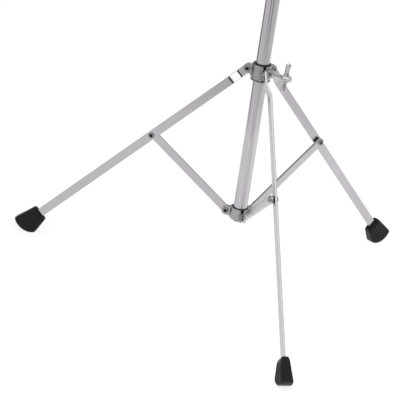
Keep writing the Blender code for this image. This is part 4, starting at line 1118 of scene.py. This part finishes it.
def make_world():
    """Studio surroundings by direction: bright overhead, grey low down, a dark opening behind to the left and a
    dark strip at eye height in front, and plain white where the camera sees past the paper."""
    world = bpy.data.worlds.new("studio")
    world.use_nodes = True
    bpy.context.scene.world = world
    shader = Shader(world.node_tree)
    background = world.node_tree.nodes["Background"]
    towards = shader.node("ShaderNodeTexCoord", {}, output=0)
    parts = shader.node("ShaderNodeSeparateXYZ", {}, towards)
    x, y, height = (Value(shader, parts.socket.node.outputs[k]) for k in range(3))
    level_size = (x * x + y * y + 0.0001) ** 0.5

    def toward(azimuth):
        """Cosine of the turn between the direction and an azimuth."""
        angle = math.radians(azimuth)
        return (x * math.cos(angle) + y * math.sin(angle)) / level_size

    level = shader.ramp(height * 0.5 + 0.5, (0.0, 0.92), (0.40, 0.80), (0.50, 0.62), (0.62, 0.62), (0.75, 0.80),
                        (1.0, 0.80))
    opening = shader.ramp(toward(131.0), (0.955, 0.0), (0.985, 1.0)) * shader.ramp(
        height * 0.5 + 0.5, (0.86, 1.0), (0.93, 0.0))
    strip = shader.ramp(toward(-108.0), (0.76, 0.0), (0.88, 1.0)) * shader.ramp(
        height * 0.5 + 0.5, (0.395, 0.0), (0.415, 1.0), (0.51, 1.0), (0.54, 0.0))
    stands = shader.ramp(toward(-79.0), (0.9945, 0.0), (0.9975, 1.0)) * shader.ramp(
        height * 0.5 + 0.5, (0.3345, 0.0), (0.3368, 1.0)) + shader.ramp(toward(-119.0), (0.9925, 0.0), (
            0.9965, 1.0)) * shader.ramp(height * 0.5 + 0.5, (0.3388, 0.0), (0.3408, 1.0))
    right_low = shader.ramp(toward(-15.0), (0.6, 0.0), (0.9, 1.0)) * shader.ramp(height * 0.5 + 0.5, (0.45, 1.0),
                                                                               (0.52, 0.0))
    level = level * (1 - 0.80 * opening) * (1 - 0.82 * strip) * (1 - 0.95 * stands) * (
        1 + 0.2 * right_low)
    seen = shader.node("ShaderNodeLightPath", {}, output=0)
    shader.feed(background.inputs["Color"], shader.mix(seen, level, (1.0, 1.0, 1.0)))
    background.inputs["Strength"].default_value = 1.0


def add_light(name, place, target, size, power):
    """A square soft light at a place, turned to a target."""
    data = bpy.data.lights.new(name, "AREA")
    data.shape = "SQUARE"
    data.size = size
    data.energy = power
    light = bpy.data.objects.new(name, data)
    light.matrix_world = (Matrix.Translation(place)
                          @ (Vector(target) - Vector(place)).to_track_quat("-Z", "Y").to_matrix().to_4x4())
    bpy.context.scene.collection.objects.link(light)


def make_lights(view):
    aim = (0.0, 0.05, 0.30)
    add_light("overhead", (0.15, -1.15, 2.3), aim, 1.5, 5.4 * view.light)
    add_light("left_soft", (-2.2, -1.0, 1.2), aim, 1.4, 8.0 * view.light)
    add_light("front_soft", (-0.52, -2.38, 1.06), aim, 0.95, 4.4 * view.light)


def make_camera(view):
    """Looks down at the stand from the front. The point on the tube's axis at the collar is shown at a given
    place in the square frame."""
    turn, lift, roll = view.azimuth, view.elevation, view.roll
    forward = Vector((-math.sin(turn) * math.cos(lift), math.cos(turn) * math.cos(lift), -math.sin(lift)))
    level = Vector((math.cos(turn), math.sin(turn), 0))
    up = level.cross(forward)
    right = math.cos(roll) * level + math.sin(roll) * up
    up = -math.sin(roll) * level + math.cos(roll) * up
    aim = Vector((AXIS[0], AXIS[1], COLLAR_PIVOT_Z))
    pixel = view.distance / FOCAL
    place = aim - right * (view.aim_x - 208) * pixel + up * (view.aim_y - 208) * pixel - forward * view.distance
    camera = bpy.data.objects.new("camera", bpy.data.cameras.new("camera"))
    camera.data.lens = FOCAL / 416 * camera.data.sensor_width
    camera.data.clip_end = 30
    camera.matrix_world = Matrix.Translation(place) @ Matrix((right, up, -forward)).transposed().to_4x4()
    bpy.context.scene.collection.objects.link(camera)
    bpy.context.scene.camera = camera


class StandView(bpy.types.PropertyGroup):
    """Where the stand is seen from, and how strongly it is lit."""
    azimuth: bpy.props.FloatProperty(name="Azimuth", description="Turn of the view round the stand",
                                     default=math.radians(-15.21), subtype="ANGLE")
    elevation: bpy.props.FloatProperty(name="Elevation", description="How far the view looks down",
                                       default=math.radians(23.24), subtype="ANGLE")
    roll: bpy.props.FloatProperty(name="Roll", description="Tilt of the view about its own line",
                                  default=math.radians(8.55), subtype="ANGLE")
    distance: length("Distance", "View point to the collar", 3.719)
    aim_x: bpy.props.FloatProperty(name="Aim across", description="Where the collar is shown, from the left of 416",
                                   default=261.6)
    aim_y: bpy.props.FloatProperty(name="Aim down", description="Where the collar is shown, from the top of 416",
                                   default=70.9)
    paper_left: length("Paper left", "Left edge of the pale floor from the middle", 0.70)
    paper_right: length("Paper right", "Right edge of the pale floor from the middle", 0.66)
    paper_front: length("Paper front", "Front edge of the pale floor from the middle", 0.56)
    paper_back: length("Paper back", "Back edge of the pale floor from the middle", 4.0)
    light: bpy.props.FloatProperty(name="Light", description="Strength of the soft lights", default=1.0, min=0.0,
                                   subtype="FACTOR", soft_max=3.0)


# Operators and panel

class BuildStep(bpy.types.Operator):
    """Base of the steps that build the stand."""
    bl_options = {"REGISTER", "UNDO"}

    def execute(self, context):
        self.build(context.scene.stand_sizes)
        return {"FINISHED"}


class STAND_OT_tubes(BuildStep):
    """Build both tubes, the plug and the guide bush"""
    bl_idname = "stand.tubes"
    bl_label = "Tubes"

    def build(self, sizes):
        make_tubes(sizes)


class STAND_OT_collar(BuildStep):
    """Build the sliding collar with its wing bolt"""
    bl_idname = "stand.collar"
    bl_label = "Collar"

    def build(self, sizes):
        make_collar(sizes)


class STAND_OT_bracket(BuildStep):
    """Build the fixed bracket at the tube's foot"""
    bl_idname = "stand.bracket"
    bl_label = "Bracket"

    def build(self, sizes):
        make_bracket(sizes)


class STAND_OT_legs(BuildStep):
    """Build the three legs and their half of the riveted joints"""
    bl_idname = "stand.legs"
    bl_label = "Legs"

    def build(self, sizes):
        for leg in LEGS:
            make_leg(leg, sizes)


class STAND_OT_struts(BuildStep):
    """Build the three struts and their half of the riveted joints"""
    bl_idname = "stand.struts"
    bl_label = "Struts"

    def build(self, sizes):
        for leg in LEGS:
            make_strut(leg, sizes)


class STAND_OT_feet(BuildStep):
    """Build the three rubber feet"""
    bl_idname = "stand.feet"
    bl_label = "Feet"

    def build(self, sizes):
        for leg in LEGS:
            make_foot(leg, sizes)


class STAND_OT_height_clamp(BuildStep):
    """Build the clamp at the lower tube's top with its wing bolt"""
    bl_idname = "stand.height_clamp"
    bl_label = "Height Clamp"

    def build(self, sizes):
        make_height_clamp(sizes)


class STAND_OT_tilter(BuildStep):
    """Build the tilter with its wing bolt, and the stud, nut and washer for the pad"""
    bl_idname = "stand.tilter"
    bl_label = "Tilter and Stud"

    def build(self, sizes):
        make_tilter(sizes)
        make_stud(sizes)


class STAND_OT_stage(bpy.types.Operator):
    """Build the floor, the surroundings, the lights and the camera"""
    bl_idname = "stand.stage"
    bl_label = "Stage"
    bl_options = {"REGISTER", "UNDO"}

    def execute(self, context):
        view = context.scene.stand_view
        make_floor(view)
        make_world()
        make_lights(view)
        make_camera(view)
        context.scene.view_settings.view_transform = "Standard"
        return {"FINISHED"}


STEPS = (STAND_OT_tubes, STAND_OT_collar, STAND_OT_bracket, STAND_OT_legs, STAND_OT_struts, STAND_OT_feet,
         STAND_OT_height_clamp, STAND_OT_tilter, STAND_OT_stage)
GROUPS = {"stand_sizes": StandSizes, "stand_finishes": StandFinishes, "stand_view": StandView}


class VIEW3D_PT_stand(bpy.types.Panel):
    """Lists the steps that build the stand, with its sizes and finishes"""
    bl_label = "Pad Stand"
    bl_space_type = "VIEW_3D"
    bl_region_type = "UI"
    bl_category = "Pad Stand"

    def draw(self, context):
        for step in STEPS:
            self.layout.operator(step.bl_idname)
        for group in GROUPS:
            box = self.layout.box()
            settings = getattr(context.scene, group)
            for key in settings.__annotations__:
                box.prop(settings, key)


def register():
    for group in GROUPS.values():
        bpy.utils.register_class(group)
    for item in (*STEPS, VIEW3D_PT_stand):
        bpy.utils.register_class(item)
    for name, group in GROUPS.items():
        setattr(bpy.types.Scene, name, bpy.props.PointerProperty(type=group))


def unregister():
    for name in GROUPS:
        delattr(bpy.types.Scene, name)
    for item in (*STEPS, VIEW3D_PT_stand, *GROUPS.values()):
        bpy.utils.unregister_class(item)


def main():
    register()
    for step in STEPS:
        getattr(bpy.ops.stand, step.bl_idname.split(".")[1])()


if __name__ == "__main__":
    main()
